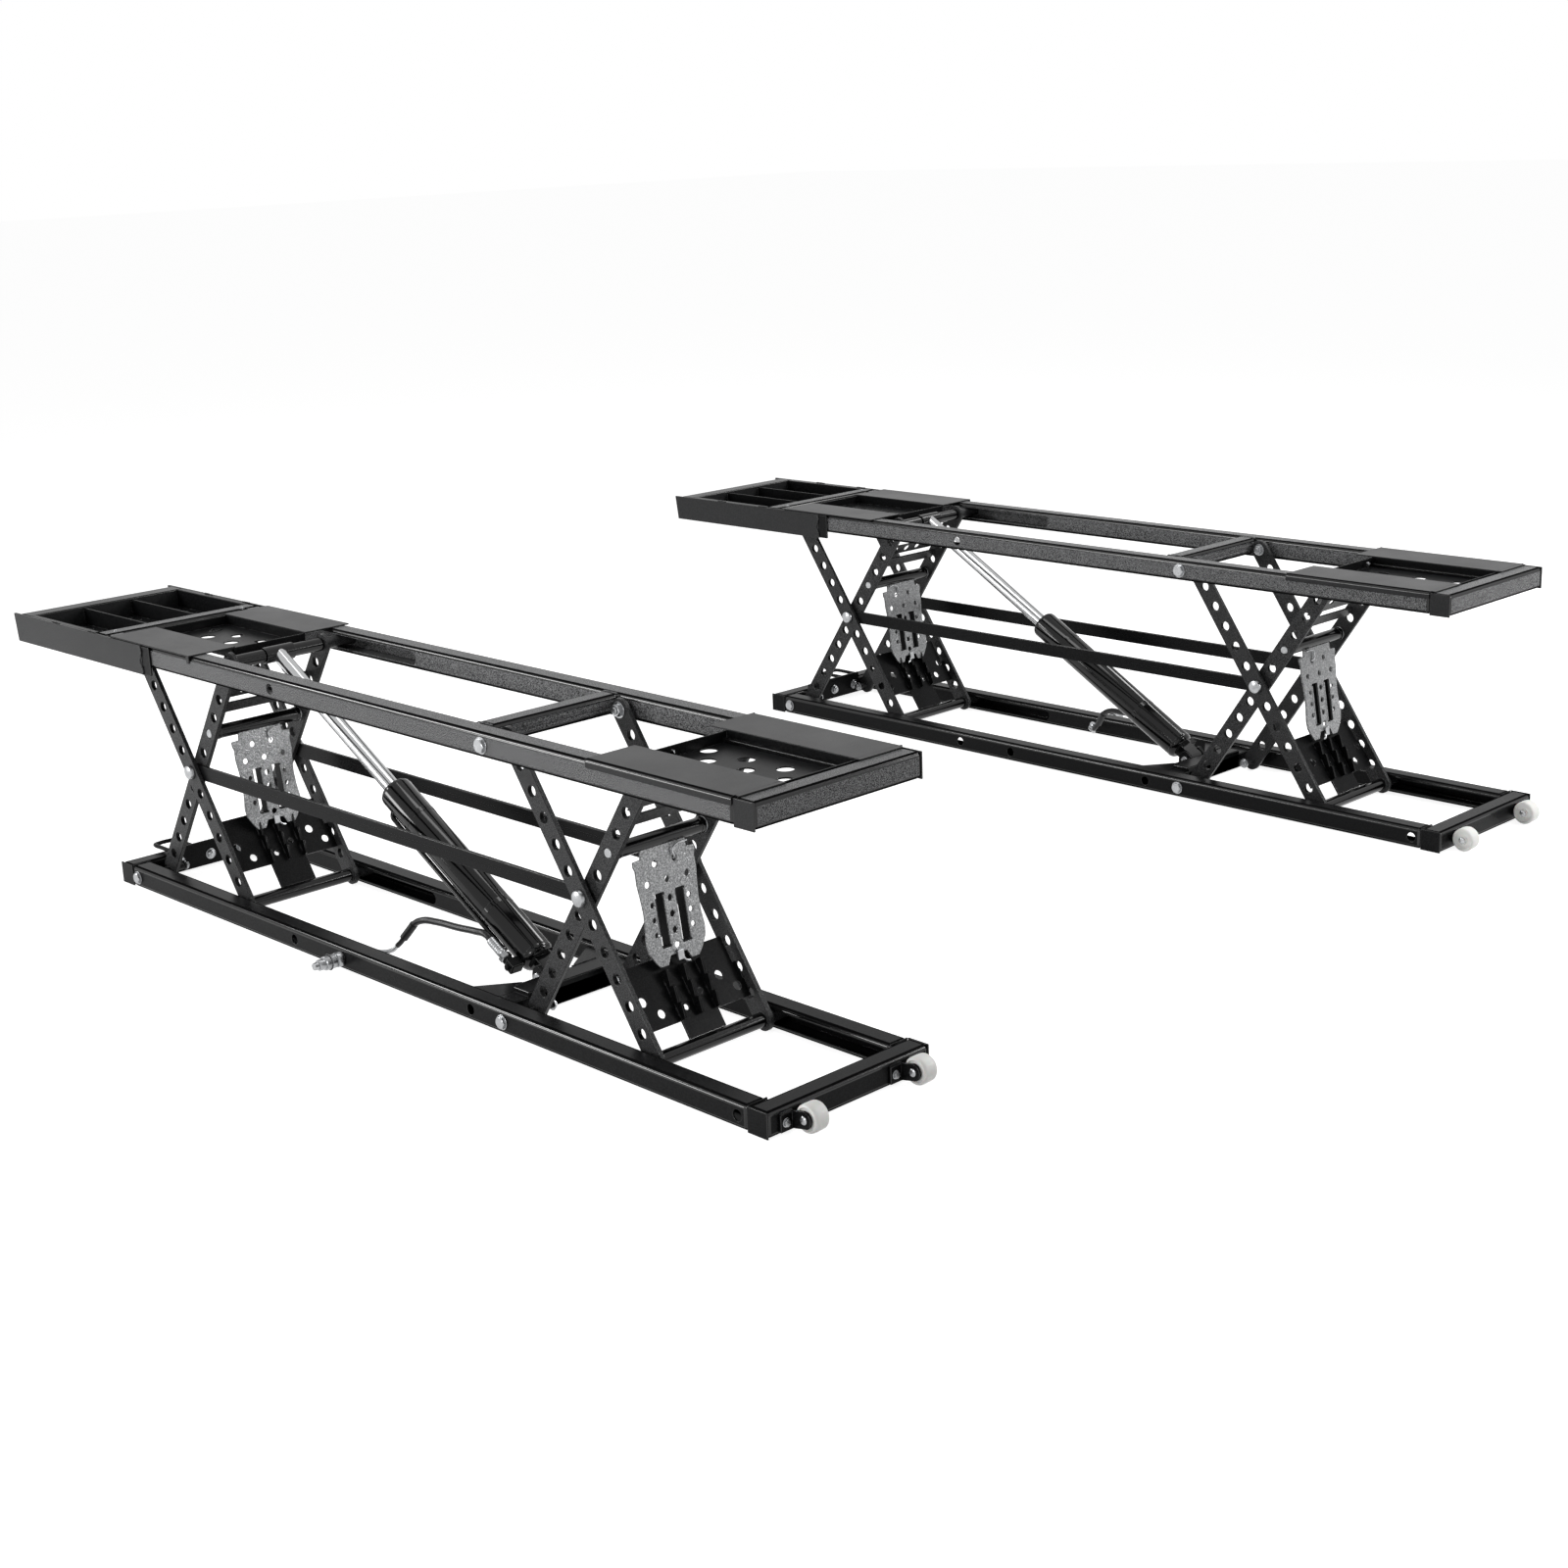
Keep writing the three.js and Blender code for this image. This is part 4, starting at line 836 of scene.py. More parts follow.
def base_frame():
    seams = []
    for x in (TUBE + 0.5, LENGTH - TUBE - 0.5):
        seams += [
            [(x, 4, 39.4), (x, TUBE - 2, 39.4)],
            [(x, TUBE - 0.4, 4), (x, TUBE - 0.4, 36)],
            [(x, WIDTH - 4, 39.4), (x, WIDTH - TUBE + 2, 39.4)],
        ]
    beam = RIGHT - 68
    low_tier = box(beam, beam + 40, 39, WIDTH - 39, 2, 32, 2)
    high_tier = box(beam, beam + 40, 76, WIDTH - 76, 2, 40, 2)
    return [
        *rails(0, [*LOCK_HOLES, (FOOT_X, 9), (COUPLER_X, 9.5)]),
        end_member(0, 0), end_member(LENGTH - TUBE, 0),
        box(39.5, 44, 80, WIDTH - 80, 4, 52, 0.8), low_tier, high_tier,
        gusset(True), gusset(False), *both(139, 147, ear),
        welds([
            *seams,
            [(LENGTH - TUBE - 0.5, WIDTH - TUBE + 0.4, 4), (LENGTH - TUBE - 0.5, WIDTH - TUBE + 0.4, 36)],
            [(beam, 84, 40), (beam, 132, 40)], [(beam, WIDTH - 132, 40), (beam, WIDTH - 84, 40)],
            [(beam + 4, TUBE, 32), (beam + 36, TUBE, 32)],
            [(beam + 4, WIDTH - TUBE, 32), (beam + 36, WIDTH - TUBE, 32)],
            [(beam - 60, TUBE + 0.4, 32), (beam - 6, TUBE + 0.4, 32)],
            [(beam - 60, WIDTH - TUBE - 0.4, 32), (beam - 6, WIDTH - TUBE - 0.4, 32)],
            [(LENGTH + 0.5, 26, 32), (LENGTH + 0.5, 46, 32)],
            [(LENGTH + 0.5, 248, 32), (LENGTH + 0.5, 268, 32)],
        ], 1.7),
    ]


def top_frame():
    z0 = DECK - TUBE
    member = RIGHT - 61
    return [
        *rails(z0, LOCK_HOLES[:1]),
        end_member(0, z0), end_member(LENGTH - TUBE, z0),
        tube_box(member, member + TUBE, TUBE - 0.5, WIDTH - TUBE + 0.5, DECK - 32, DECK),
        box(member + TUBE - 1, member + TUBE + 1.4, TUBE, WIDTH - TUBE, DECK - 24, DECK - 18, 0.6),
        box(member + TUBE - 1, member + TUBE + 1.4, TUBE, WIDTH - TUBE, DECK - 14, DECK - 8, 0.6),
        welds([
            [(LENGTH - TUBE - 0.5, TUBE - 0.4, z0 + 4), (LENGTH - TUBE - 0.5, TUBE - 0.4, DECK - 4)],
            [(LENGTH - TUBE - 0.5, WIDTH - TUBE + 0.4, z) for z in (z0 + 4, DECK - 4)],
            [(member + 4, TUBE, DECK - 0.6), (member + 36, TUBE, DECK - 0.6)],
            [(member + 4, WIDTH - TUBE, DECK - 0.6), (member + 36, WIDTH - TUBE, DECK - 0.6)],
            [(member, TUBE + 0.3, DECK - 30), (member, TUBE + 0.3, DECK - 3)],
            [(member + TUBE, WIDTH - TUBE - 0.3, DECK - 30), (member + TUBE, WIDTH - TUBE - 0.3, DECK - 3)],
        ], 1.8, 5),
    ]


# ---- trays -----------------------------------------------------------------------------------

TRAY_THICK = 2.5
COVER_EDGE = 92
POCKET_FLOOR = DECK - 19.5
COVER_TOP = DECK + GAP + TRAY_THICK
REAR_END, FRONT_END = EYE_X - 20, LENGTH - 32
END_TIP, END_BAR_START, END_BAR_END, END_SIDE_END = -309, -290, -250, 180
END_FLOOR = DECK - 38
RIB_YS = (112, 215)


def pocket(start, end, hole_start, far_row):
    """The sunken floor between two covers, with its walls and its two rows of holes."""
    near = COVER_EDGE - TRAY_THICK
    holes = [(start + (end - start) * (hole_start + i * 0.15), far_row - 40 * (i % 2), 13.3)
             for i in range(6)]
    floor = plate([rectangle(start, end, near, WIDTH - near)], holes, TRAY_THICK,
                  lying(0, POCKET_FLOOR), facets=36)
    ends = [box(x, x + TRAY_THICK, near, WIDTH - near, POCKET_FLOOR, DECK) for x in (start, end - TRAY_THICK)]
    sides = both(near, COVER_EDGE - 0.1,
                 lambda y0, y1: box(start, end, y0, y1, POCKET_FLOOR, COVER_TOP - 0.1))
    return [floor, *ends, *sides]


def rear_covers():
    """Two cover plates, and the small tab that hangs from the near one."""
    tab = plate([rounded_rectangle(REAR_END - 9, REAR_END, DECK - 12, COVER_TOP, 2.5)], [], 2.2,
                standing(0, 0, -0.7))
    return both(-3, COVER_EDGE, lambda y0, y1: box(66, REAR_END, y0, y1, DECK + GAP, COVER_TOP)) + [tab]


def front_covers():
    """Cover plates whose outer edges are folded down over the rails."""
    section = [(-3, DECK - 11), (-0.9, DECK - 11), (-0.9, DECK + GAP), (COVER_EDGE, DECK + GAP),
               (COVER_EDGE, COVER_TOP), (-3, COVER_TOP)]
    mirrored = [(WIDTH - y, z) for y, z in reversed(section)]
    start, fold_end = FRONT_END - 316, LENGTH - TUBE - 0.7
    place = Matrix(((0, 0, 1, start), (1, 0, 0, 0), (0, 1, 0, 0), (0, 0, 0, 1)))

    def width(edge):
        outside = all(min(abs(v.co.y + 3), abs(v.co.y - WIDTH - 3)) < 0.01 for v in edge.verts)
        return TUBE_CORNER - 1 if outside and all(v.co.z > DECK for v in edge.verts) else PLATE_EDGE

    return [*[plate([loop], [], fold_end - start, place, edge=width) for loop in (section, mirrored)],
            *both(5, COVER_EDGE, lambda y0, y1: box(fold_end - 2, FRONT_END, y0, y1, DECK + GAP, COVER_TOP))]


def front_lips():
    return both(COVER_EDGE - 0.5, COVER_EDGE + 7, lambda y0, y1: box(
        FRONT_END - 278, FRONT_END - 13, y0, y1, POCKET_FLOOR + 2, POCKET_FLOOR + 9, 2))


def end_tray():
    side = [(END_TIP, DECK), (END_TIP + 8, DECK - 54), (END_SIDE_END, DECK - 54), (END_SIDE_END, DECK)]
    return [
        *both(-5.3, -0.3, lambda y0, y1: plate([side], [], y1 - y0, standing(0, 0, y1), edge=0.7)),
        box(END_BAR_START, END_BAR_END, -GAP, WIDTH + GAP, END_FLOOR, DECK, 2.4),
    ]


def end_tray_bays():
    """The end tray's perforated floor, its two ribs and its inner sides."""
    holes = [(-226 + 34 * i, 62 + 103 * bay + 30 * j, 7.5)
             for bay in range(3) for i in range(7) for j in (-1, 0, 1)]
    return [
        plate([rectangle(END_BAR_START, -GAP, 0, WIDTH)], holes, 3, lying(0, END_FLOOR), facets=16),
        *both(-0.8, 12, lambda y0, y1: box(END_BAR_END - 0.5, -GAP, y0, y1, END_FLOOR, DECK, 1.2)),
        *[box(END_BAR_END - 1, -GAP, y, y + 3, END_FLOOR, DECK - 3) for y in RIB_YS],
        *both(-4.6, -0.3, lambda y0, y1: box(
            END_SIDE_END + 1, END_SIDE_END + 26, y0, y1, DECK - 53, DECK - 1, 1.2)),
    ]


def end_tray_welds():
    edges = (-0.2, WIDTH + 0.2)
    wave = [(END_SIDE_END - 2 + 3.5 * math.sin(i * 0.9), DECK - 2 - 5 * i) for i in range(11)]
    return [welds([
        *[[(x, y, DECK + 0.1), (x + 26, y, DECK + 0.1)] for x in (-160, -21, 122, 150) for y in edges],
        *[[(x, y, z) for x, z in wave] for y in (-5, WIDTH + 5)],
        *[[(END_BAR_END + 1, y + d, z) for z in (DECK - 32, DECK - 8)]
          for y in RIB_YS for d in (-0.6, 3.6)],
    ], 2.1, 8)]


# ---- scissor legs, ladders and struts --------------------------------------------------------

def leg_frame(pivot, inner):
    """Where the legs' own line starts, and its angle above X."""
    return (pivot, LOW, RAISED) if inner else (pivot, HIGH, -RAISED)


def on_leg(pivot, inner, s, y, offset=0.0):
    x, z, angle = leg_frame(pivot, inner)
    c, q = math.cos(angle), math.sin(angle)
    return (x + s * c - offset * q, y, z + s * q + offset * c)


def leg_pair(pivot, inner, extra_holes, skipped):
    x, z, angle = leg_frame(pivot, inner)
    y_in = INNER_Y if inner else OUTER_Y
    count = round(LEG / LEG_HOLE_PITCH) - 1
    along = [s for s in ((i + 1) * LEG_HOLE_PITCH for i in range(count))
             if all(abs(s - taken) > LEG_HOLE_PITCH / 2 for taken in skipped)]
    holes = [(s, 0, LEG_HOLE) for s in along] + [(s, 0, r) for s, r in extra_holes]
    return both(y_in, y_in + LEG_THICK, lambda y0, y1: plate(
        [rounded_bar(LEG, LEG_HALF)], holes, y1 - y0, standing(x, z, y1, angle)))


def rollers(pivot, inner):
    x, _, z = on_leg(pivot, inner, LEG, 0)
    y_in = INNER_Y if inner else OUTER_Y
    return both(5, y_in + 1, lambda y0, y1: cross_rod(x, z, ROLLER, y0, y1))


def inner_legs(pivot, web_back, web_width, web_offset):
    x, z, angle = leg_frame(pivot, True)
    y0, y1 = INNER_Y + 1, WIDTH - INNER_Y - 1
    bar_s = LEG - 135
    web_s = LEG - web_back
    holes = [(web_s + web_width / 2, MIDDLE + 36 * i, 7) for i in (-1, 0, 1)]
    seams = [[on_leg(pivot, True, bar_s + d, y, 8) for d in (2, 21)] for y in (y0 + 7, y1 - 7)]
    seams += [[on_leg(pivot, True, web_s + d, y, web_offset + 1.2) for d in (2, web_width - 2)]
              for y in (y0 + 7.5, y1 - 7.5)]
    return [
        *leg_pair(pivot, True, [(HINGE_S, 8.3)], [LEG / 2, HINGE_S]),
        *rollers(pivot, True),
        *both(0, 99, lambda a, b: cross_rod(pivot, LOW, 6, a, b)),
        *both(41.5, INNER_Y + 1, lambda a, b: cross_rod(*on_leg(pivot, True, LEG / 2, 0)[::2], 6, a, b)),
        plate([rectangle(bar_s, bar_s + 23, y0, y1)], [], 3.2, lying(x, z, 6.3, angle)),
        plate([rectangle(web_s, web_s + web_width, y0, y1)], holes, 2.5, lying(x, z, web_offset, angle)),
        welds(seams, 1.8, 9),
    ]


def outer_legs(pivot):
    x, _, z = on_leg(pivot, False, LEG, 0)
    ring = []
    for y in (OUTER_Y + LEG_THICK + 0.4, WIDTH - OUTER_Y - LEG_THICK - 0.4):
        ring.append([(x + 12.4 * math.cos(a), y, z + 12.4 * math.sin(a))
                     for a in (math.pi * i / 8 for i in range(17))])
    return [
        *leg_pair(pivot, False, [(LEG / 2, 6.5)], [LEG / 2]),
        *rollers(pivot, False),
        *both(0, OUTER_Y + 1, lambda a, b: cross_rod(pivot, HIGH, 6, a, b)),
        welds(ring, 1.8, 12),
    ]


def foot_tube(pivot):
    x, _, z = on_leg(pivot, False, LEG, 0)
    return [cross_rod(x, z, 12, OUTER_Y + LEG_THICK - 1, WIDTH - OUTER_Y - LEG_THICK + 1, 48, 0)]


def fin_outline(start, end, height, teeth, valley):
    pitch = (end - start) / teeth
    loop = [(start, -1)]
    for i in range(teeth):
        top = start + i * pitch
        loop += [(top + (0.6 if i else 0), height - 3), (top + 3, height), (top + 8, height - 1)]
        tooth_end = start + (i + 1) * pitch
        loop += [(tooth_end - 2, height * valley + 1), (tooth_end, height * valley)]
    return loop + [(end, -1)]


def lock_ladder(pivot, raised_by):
    """The toothed plate between the outer legs, and its tongue down to the foot tube."""
    x, z, angle = leg_frame(pivot, False)
    top, shoulder, bottom = LEG - 145 - raised_by, LEG - 100 - raised_by / 2, LEG - 42 - raised_by
    wide, tongue, foot = OUTER_Y + LEG_THICK + GAP, MIDDLE - 37, LEG - 12.3
    near = [(top, 66), (shoulder, 66), (shoulder, wide), (bottom, wide), (bottom, tongue), (foot, tongue)]
    far = [(s, WIDTH - y) for s, y in reversed(near)]
    holes = [(top + 56, y, 7.8) for y in (75, 230)] + [(top + 82, y, 7.2) for y in (99, 254)]
    holes += [(top + 69, MIDDLE + 19, 5), (top + 85, MIDDLE - 18, 5)]
    fins = [plate([fin_outline(top + 21.5, bottom - 0.6, 18, 3, 0.62)], [], 4,
                  standing(x, z, MIDDLE + i * 35 + 2, angle)) for i in (-1, 0, 1)]
    seams = [[on_leg(pivot, False, top + s + j * 26, MIDDLE + i * 35 + d, 2) for s in (30, 42)]
             for i in (-1, 0, 1) for d in (-2.2, 2.2) for j in range(3)]
    ends = [[on_leg(pivot, False, s, y, 2) for s in (shoulder + 14, shoulder + 28)]
            for y in (wide + 0.5, WIDTH - wide - 0.5)]
    return [plate([near + far], holes, 4, lying(x, z, -2, angle)), *fins, welds(seams + ends, 1.5, 21)]


# One side of the strut's outline, as shares of its reach and of its half width
STRUT_SHARES = [
    (0.03, 0.72), (0.12, 0.75), (0.125, 1), (0.17, 1), (0.2, 0.96), (0.31, 0.97), (0.42, 0.93), (0.54, 0.9),
    (0.66, 0.92), (0.78, 0.97), (0.86, 0.94), (0.91, 0.85), (0.96, 0.75), (1, 0.64), (1, 0.38), (0.93, 0.27),
]
# Where the strut stands on the ladder, along from the legs' pivot and above the floor
STRUT_FOOT = (EYE_X - LEFT - 68.6, LOW + 110.7)
STRUT_REACH = math.hypot(STRUT_FOOT[0] - HINGE_X, STRUT_FOOT[1] - HINGE_Z)
STRUT_ANGLE = math.atan2(STRUT_FOOT[1] - HINGE_Z, STRUT_FOOT[0] - HINGE_X)
STRUT_HALF = 61
PLATE_OFFSET = 3.5
LOCK_SLOT_Y, LOCK_SLOT_HALF = 20.5, 9.8
LOCK_SLOT_ENDS = (0.42 * STRUT_REACH, 0.86 * STRUT_REACH)
CHANNEL_WALL = 2.4


def strut_face(pivot, offset):
    return lying(pivot + HINGE_X, HINGE_Z, offset, STRUT_ANGLE)


def on_strut(pivot, d, y, offset):
    c, s = math.cos(STRUT_ANGLE), math.sin(STRUT_ANGLE)
    return (pivot + HINGE_X + d * c - offset * s, y, HINGE_Z + d * s + offset * c)


def strut_plate(pivot):
    """The hammered plate with its two long slots and its columns of holes."""
    right = [(d * STRUT_REACH, MIDDLE + w * STRUT_HALF) for d, w in STRUT_SHARES]
    left = [(d * STRUT_REACH, MIDDLE - w * STRUT_HALF) for d, w in reversed(STRUT_SHARES)]
    slots = [rounded_rectangle(*LOCK_SLOT_ENDS, MIDDLE + s * LOCK_SLOT_Y - LOCK_SLOT_HALF,
                               MIDDLE + s * LOCK_SLOT_Y + LOCK_SLOT_HALF, 3) for s in (-1, 1)]
    holes = [(d * STRUT_REACH, MIDDLE, 5.4) for d in (0.33, 0.48, 0.61, 0.74, 0.86)]
    holes += [(0.33 * STRUT_REACH, MIDDLE + s * 40, 5.4) for s in (-1, 1)]
    holes += [(0.184 * STRUT_REACH, MIDDLE + s * 20, 5.4) for s in (-1, 1)]
    holes += [(d * STRUT_REACH, MIDDLE + s * 36.5, 4.4) for s in (-1, 1) for d in (0.5, 0.62, 0.74)]
    bends = [tube([on_strut(pivot, d, MIDDLE + s * LOCK_SLOT_Y + LOCK_SLOT_HALF - 1, PLATE_OFFSET + 3.4)
                   for d in (LOCK_SLOT_ENDS[0] + 4, LOCK_SLOT_ENDS[1] - 4)], 1.7, 1, 3) for s in (-1, 1)]
    return [plate([right + left, *slots], holes, 4, strut_face(pivot, PLATE_OFFSET), edge=0.9), *bends]


def strut_channels(pivot):
    """The walls that the slots' metal is folded back into, coloured black instead of the plate's hammered
    grey as painted shade inside the slots.
    """
    walls = []
    for s in (-1, 1):
        middle = MIDDLE + s * LOCK_SLOT_Y
        low, high = middle - LOCK_SLOT_HALF, middle + LOCK_SLOT_HALF
        for y0 in (low, high - CHANNEL_WALL):
            walls.append(plate([rectangle(*LOCK_SLOT_ENDS, y0, y0 + CHANNEL_WALL)], [], 18,
                               strut_face(pivot, PLATE_OFFSET - 16.6)))
        end = LOCK_SLOT_ENDS[1]
        walls.append(plate([rectangle(end - CHANNEL_WALL, end, low, high)], [], 9,
                           strut_face(pivot, PLATE_OFFSET - 7.6)))
    return walls


def strut_hardware(pivot):
    """The bright clip at the strut's foot, its pin, the spring wire and the rings beside the sleeve."""
    clip = plate([rectangle(0.9 * STRUT_REACH, 0.985 * STRUT_REACH, MIDDLE - 6, MIDDLE + 6)], [], 5,
                 strut_face(pivot, PLATE_OFFSET + 4), edge=1.4)
    pin = tube([on_strut(pivot, d * STRUT_REACH, MIDDLE + y, offset)
                for d, y, offset in ((0.96, 4, 9), (1, 9, 11), (1.01, 16, 11))], 2, 4, 3)
    wire = tube([on_strut(pivot, d, MIDDLE + y, offset) for d, y, offset in (
        (36, 21, 4), (33, 18, 10), (22, 15, 11), (15, 20, 12.5), (13, 44, 12.5))], 1.5, 5, 3)
    rings = both(INNER_Y + LEG_THICK + 0.6, INNER_Y + LEG_THICK + 3.2,
                 lambda y0, y1: cross_rod(pivot + HINGE_X, HINGE_Z, 13.4, y0, y1, 40, 0.5))
    return [clip, pin, wire, *rings]


def strut_sleeve(pivot):
    x = pivot + HINGE_X
    y0, y1 = INNER_Y + LEG_THICK + 3.4, WIDTH - INNER_Y - LEG_THICK - 3.4
    steps = [(y0, 8.6), (y0, 13.4), (y0 + 8, 13.4), (y0 + 8.6, 12.5),
             (y1 - 8.6, 12.5), (y1 - 8, 13.4), (y1, 13.4), (y1, 8.6)]
    sleeve = turned(steps, Matrix.Translation((x, 0, HINGE_Z)) @ ACROSS, 48)
    seam = [on_strut(pivot, 8, MIDDLE + w * STRUT_HALF, 8.5) for w in (-0.7, 0.7)]
    return [sleeve, welds([seam], 1.8, 31)]


def link_bars():
    x0, z = LEFT + REST_RUN / 2, (LOW + HIGH) / 2
    span = RIGHT - LEFT
    ends = [(0, 0, 6.5), (span, 0, 6.5)]
    return both(LINK_Y, LINK_Y + LINK_THICK, lambda y0, y1: plate(
        [rounded_bar(span, LINK_HALF)], ends, y1 - y0, standing(x0, z, y1), edge=0.8))


# ---- cylinder, hose and coupler --------------------------------------------------------------

def on_cylinder(along, y, below):
    c, s = math.cos(CYLINDER_LEAN), math.sin(CYLINDER_LEAN)
    return (FOOT_X - along * c - below * s, y, FOOT_Z + along * s - below * c)


CYLINDER_AXIS = Vector(on_cylinder(1, 0, 0)) - Vector(on_cylinder(0, 0, 0))
CYLINDER_TURN = CYLINDER_AXIS.to_track_quat("Z", "Y").to_matrix().to_4x4()
CYLINDER_PLACE = Matrix.Translation((FOOT_X, MIDDLE, FOOT_Z)) @ CYLINDER_TURN


def barrel():
    end = BARREL_END
    shell = turned([
        (BARREL_START, 0), (BARREL_START, 23), (BARREL_START + 3, 27), (BARREL_START + 8, BARREL_R),
        (end - 9, BARREL_R), (end - 4, 28.6), (end - 1, 26.2), (end, 23), (end, 16.5), (end - 2.5, 15.6),
        (end - 24, 15.6), (end - 24, 15.2), (end - 2, 14.6), (end - 2, 14.5), (end - 26, 14.5), (end - 26, 0),
    ], CYLINDER_PLACE, 96, 0)
    foot_ring = turned([
        (BARREL_START + 9, 20), (BARREL_START + 9, BARREL_R), (BARREL_START + 9.6, BARREL_R + 0.4),
        (BARREL_START + 12.6, BARREL_R + 0.4), (BARREL_START + 13.2, BARREL_R), (BARREL_START + 13.2, 20),
    ], CYLINDER_PLACE, 96, 0)
    lug = plate([rounded_bar(BARREL_START + 2, 12.5)], [(0, 0, 8.5)], 34,
                standing(FOOT_X, FOOT_Z, MIDDLE + 17, math.pi - CYLINDER_LEAN), edge=1.2)
    line = [on_cylinder(a, MIDDLE - y, b) for a, y, b in (
        (90, 21, 17), (92, 23, 22), (100, 24, 24), (120, 24, 24),
        (420, 24, 24), (432, 23, 23), (438, 20, 18))]
    clips = [turned([(a, BARREL_R - 1), (a, BARREL_R + 0.5), (a + 9, BARREL_R + 0.5), (a + 9, BARREL_R - 1)],
                    CYLINDER_PLACE, 96, 0) for a in (150, 384)]
    return [shell, foot_ring, lug, tube(line, 4.2, 6, 4), *clips]


def rod():
    """The chrome shaft, and the eye at its end."""
    inside = BARREL_END - 40
    shaft = turned([(inside, 0), (inside, ROD_R), (REACH, ROD_R), (REACH, 0)], CYLINDER_PLACE, 96, 0)
    eye = turned([(135.2, 8.5), (135.2, EYE_R), (194.8, EYE_R), (194.8, 8.5)],
                 Matrix.Translation((EYE_X, 0, HIGH)) @ ACROSS, 64, 0.8)
    return [shaft], [eye]


def rod_pin():
    y0 = INNER_Y + LEG_THICK + 0.5
    collars = both(y0, MIDDLE - 30.5, lambda a, b: cross_rod(EYE_X, HIGH, 12, a, b, 48, 0.8))
    return [cross_rod(EYE_X, HIGH, 8, y0, WIDTH - y0, 40)] + collars


# The fitting's own line, beside and below the barrel's axis
FITTING_Y, FITTING_BELOW = MIDDLE - 45, 9


def on_fitting(shape):
    """From along the cylinder, across and below it, to the runway."""
    c, s = math.cos(CYLINDER_LEAN), math.sin(CYLINDER_LEAN)
    return moved(shape, Matrix(((-c, 0, -s, FOOT_X), (0, 1, 0, 0), (s, 0, -c, FOOT_Z), (0, 0, 0, 1))))


def fitting_block():
    """The black elbow block on the barrel's side, with its stub to the hose."""
    side = MIDDLE - BARREL_R - GAP
    block = box(35, 55, FITTING_Y - 9, side, -1, 18, 2.2)
    stub = turned([(54, 0), (54, 8), (56.5, 9), (60, 9), (61, 8), (61, 0)],
                  Matrix.Translation((0, FITTING_Y, FITTING_BELOW)) @ ALONG, 32, 0)
    plug = turned([(0, 0), (0, 6), (4, 6), (5, 5), (5, 0)],
                  Matrix.Translation((45, FITTING_Y - 8.5, FITTING_BELOW)) @ TOWARDS_NEAR, 6, 0)
    return [on_fitting(shape) for shape in (block, stub, plug)]


def fitting():
    """The swivel nut and the ribbed sleeve pressed on the hose."""
    crimp = [(73, 0), (73, 7.4), (75, 8.3)]
    for i in range(7):
        crimp += [(77 + 4.4 * i, 8.4), (79.4 + 4.4 * i, 8.4), (80 + 4.4 * i, 7.7), (81 + 4.4 * i, 7.7)]
    crimp += [(108, 7.4), (108, 0)]
    turn = Matrix.Translation((0, FITTING_Y, FITTING_BELOW)) @ ALONG
    nut = turned([(61, 0), (61, 9.6), (62, 10.8), (70, 10.8), (71, 9.6), (71, 0)], turn, 6, 0)
    neck = turned([(70, 0), (70, 6.6), (74, 6.6), (74, 0)], turn, 32, 0)
    return [on_fitting(shape) for shape in (nut, neck, turned(crimp, turn, 32, 0))]


# The hose leaves its fitting straight, bends at its pressed sleeve, and ends in the sleeve's neck
HOSE_START, HOSE_STRAIGHT = 108.3, 12
HOSE_BEND = [(816, 101, 70), (805.5, 97, 56.5), (795, 92.5, 43)]
HOSE_NECK = [(797, 93.3, 45.5), (787, 91, 34), (779, 89, 26.5)]


def hose():
    """The rubber hose, the sleeve pressed on its far end and the sleeve's neck."""
    route = [on_cylinder(HOSE_START, FITTING_Y, FITTING_BELOW),
             on_cylinder(HOSE_START + HOSE_STRAIGHT, FITTING_Y, FITTING_BELOW),
             (966, 119, 87), (924, 115, 85), (870, 110, 84), (838, 104.5, 81), *HOSE_BEND[:2]]
    return [tube(route, 6, 12, 6), tube(HOSE_BEND, 7.3, 6, 5), tube(HOSE_NECK, 4.6, 6, 5)]


def coupler_pipe():
    """The thin steel pipe from the hose's neck to the coupler."""
    route = [HOSE_NECK[2], (774, 83, 19.5), (762, 70, 16), (COUPLER_X, 56, 19), (COUPLER_X, 46.3, LOW)]
    return [tube(route, 4, 8, 5)]


def coupler():
    """The quick coupler's stem, hexagon, groove, gripped collar and tip."""
    turn = Matrix.Translation((COUPLER_X, 0, LOW)) @ TOWARDS_NEAR
    steps = [
        (-46, 0), (-46, 9), (0.3, 9), (0.3, 12.4), (2, 13), (10.5, 13), (12.3, 12.2), (12.3, 10),
        (15.3, 10), (15.3, 11.8), (16.2, 12.4), (34.2, 12.4), (35.3, 11.6), (35.3, 10), (39, 9.6),
        (46, 9.6), (47.3, 8.8), (47.3, 7), (55.3, 6.4), (55.3, 0),
    ]
    ridges = moved(grown(bpy.data.meshes.new("none"), grip_tree, Ridge_Count=34, Collar_Radius=12.2,
                         Ridge_Width=1.1, Ridge_Length=13.0), turn @ Matrix.Translation((0, 0, 25.3)))
    return [turned(steps, turn, 48, 0), ridges]


# ---- wheels, brackets and handle -------------------------------------------------------------

WHEEL_X, WHEEL_Z = LENGTH + 27, 23
WHEEL_YS = {"near": 62.0, "far": 284.0}


def wheel(y):
    left = [(-13.5, 4.6), (-13.5, 9), (-12, 9.6), (-12, 16), (-13.5, 17), (-13.5, 18.4), (-12.6, 20.2),
            (-10.6, 21.5), (-7, 21.9)]
    profile = left + [(-along, radius) for along, radius in reversed(left)]
    return [turned(profile, Matrix.Translation((WHEEL_X, y, WHEEL_Z)) @ ACROSS, 72, 0)]


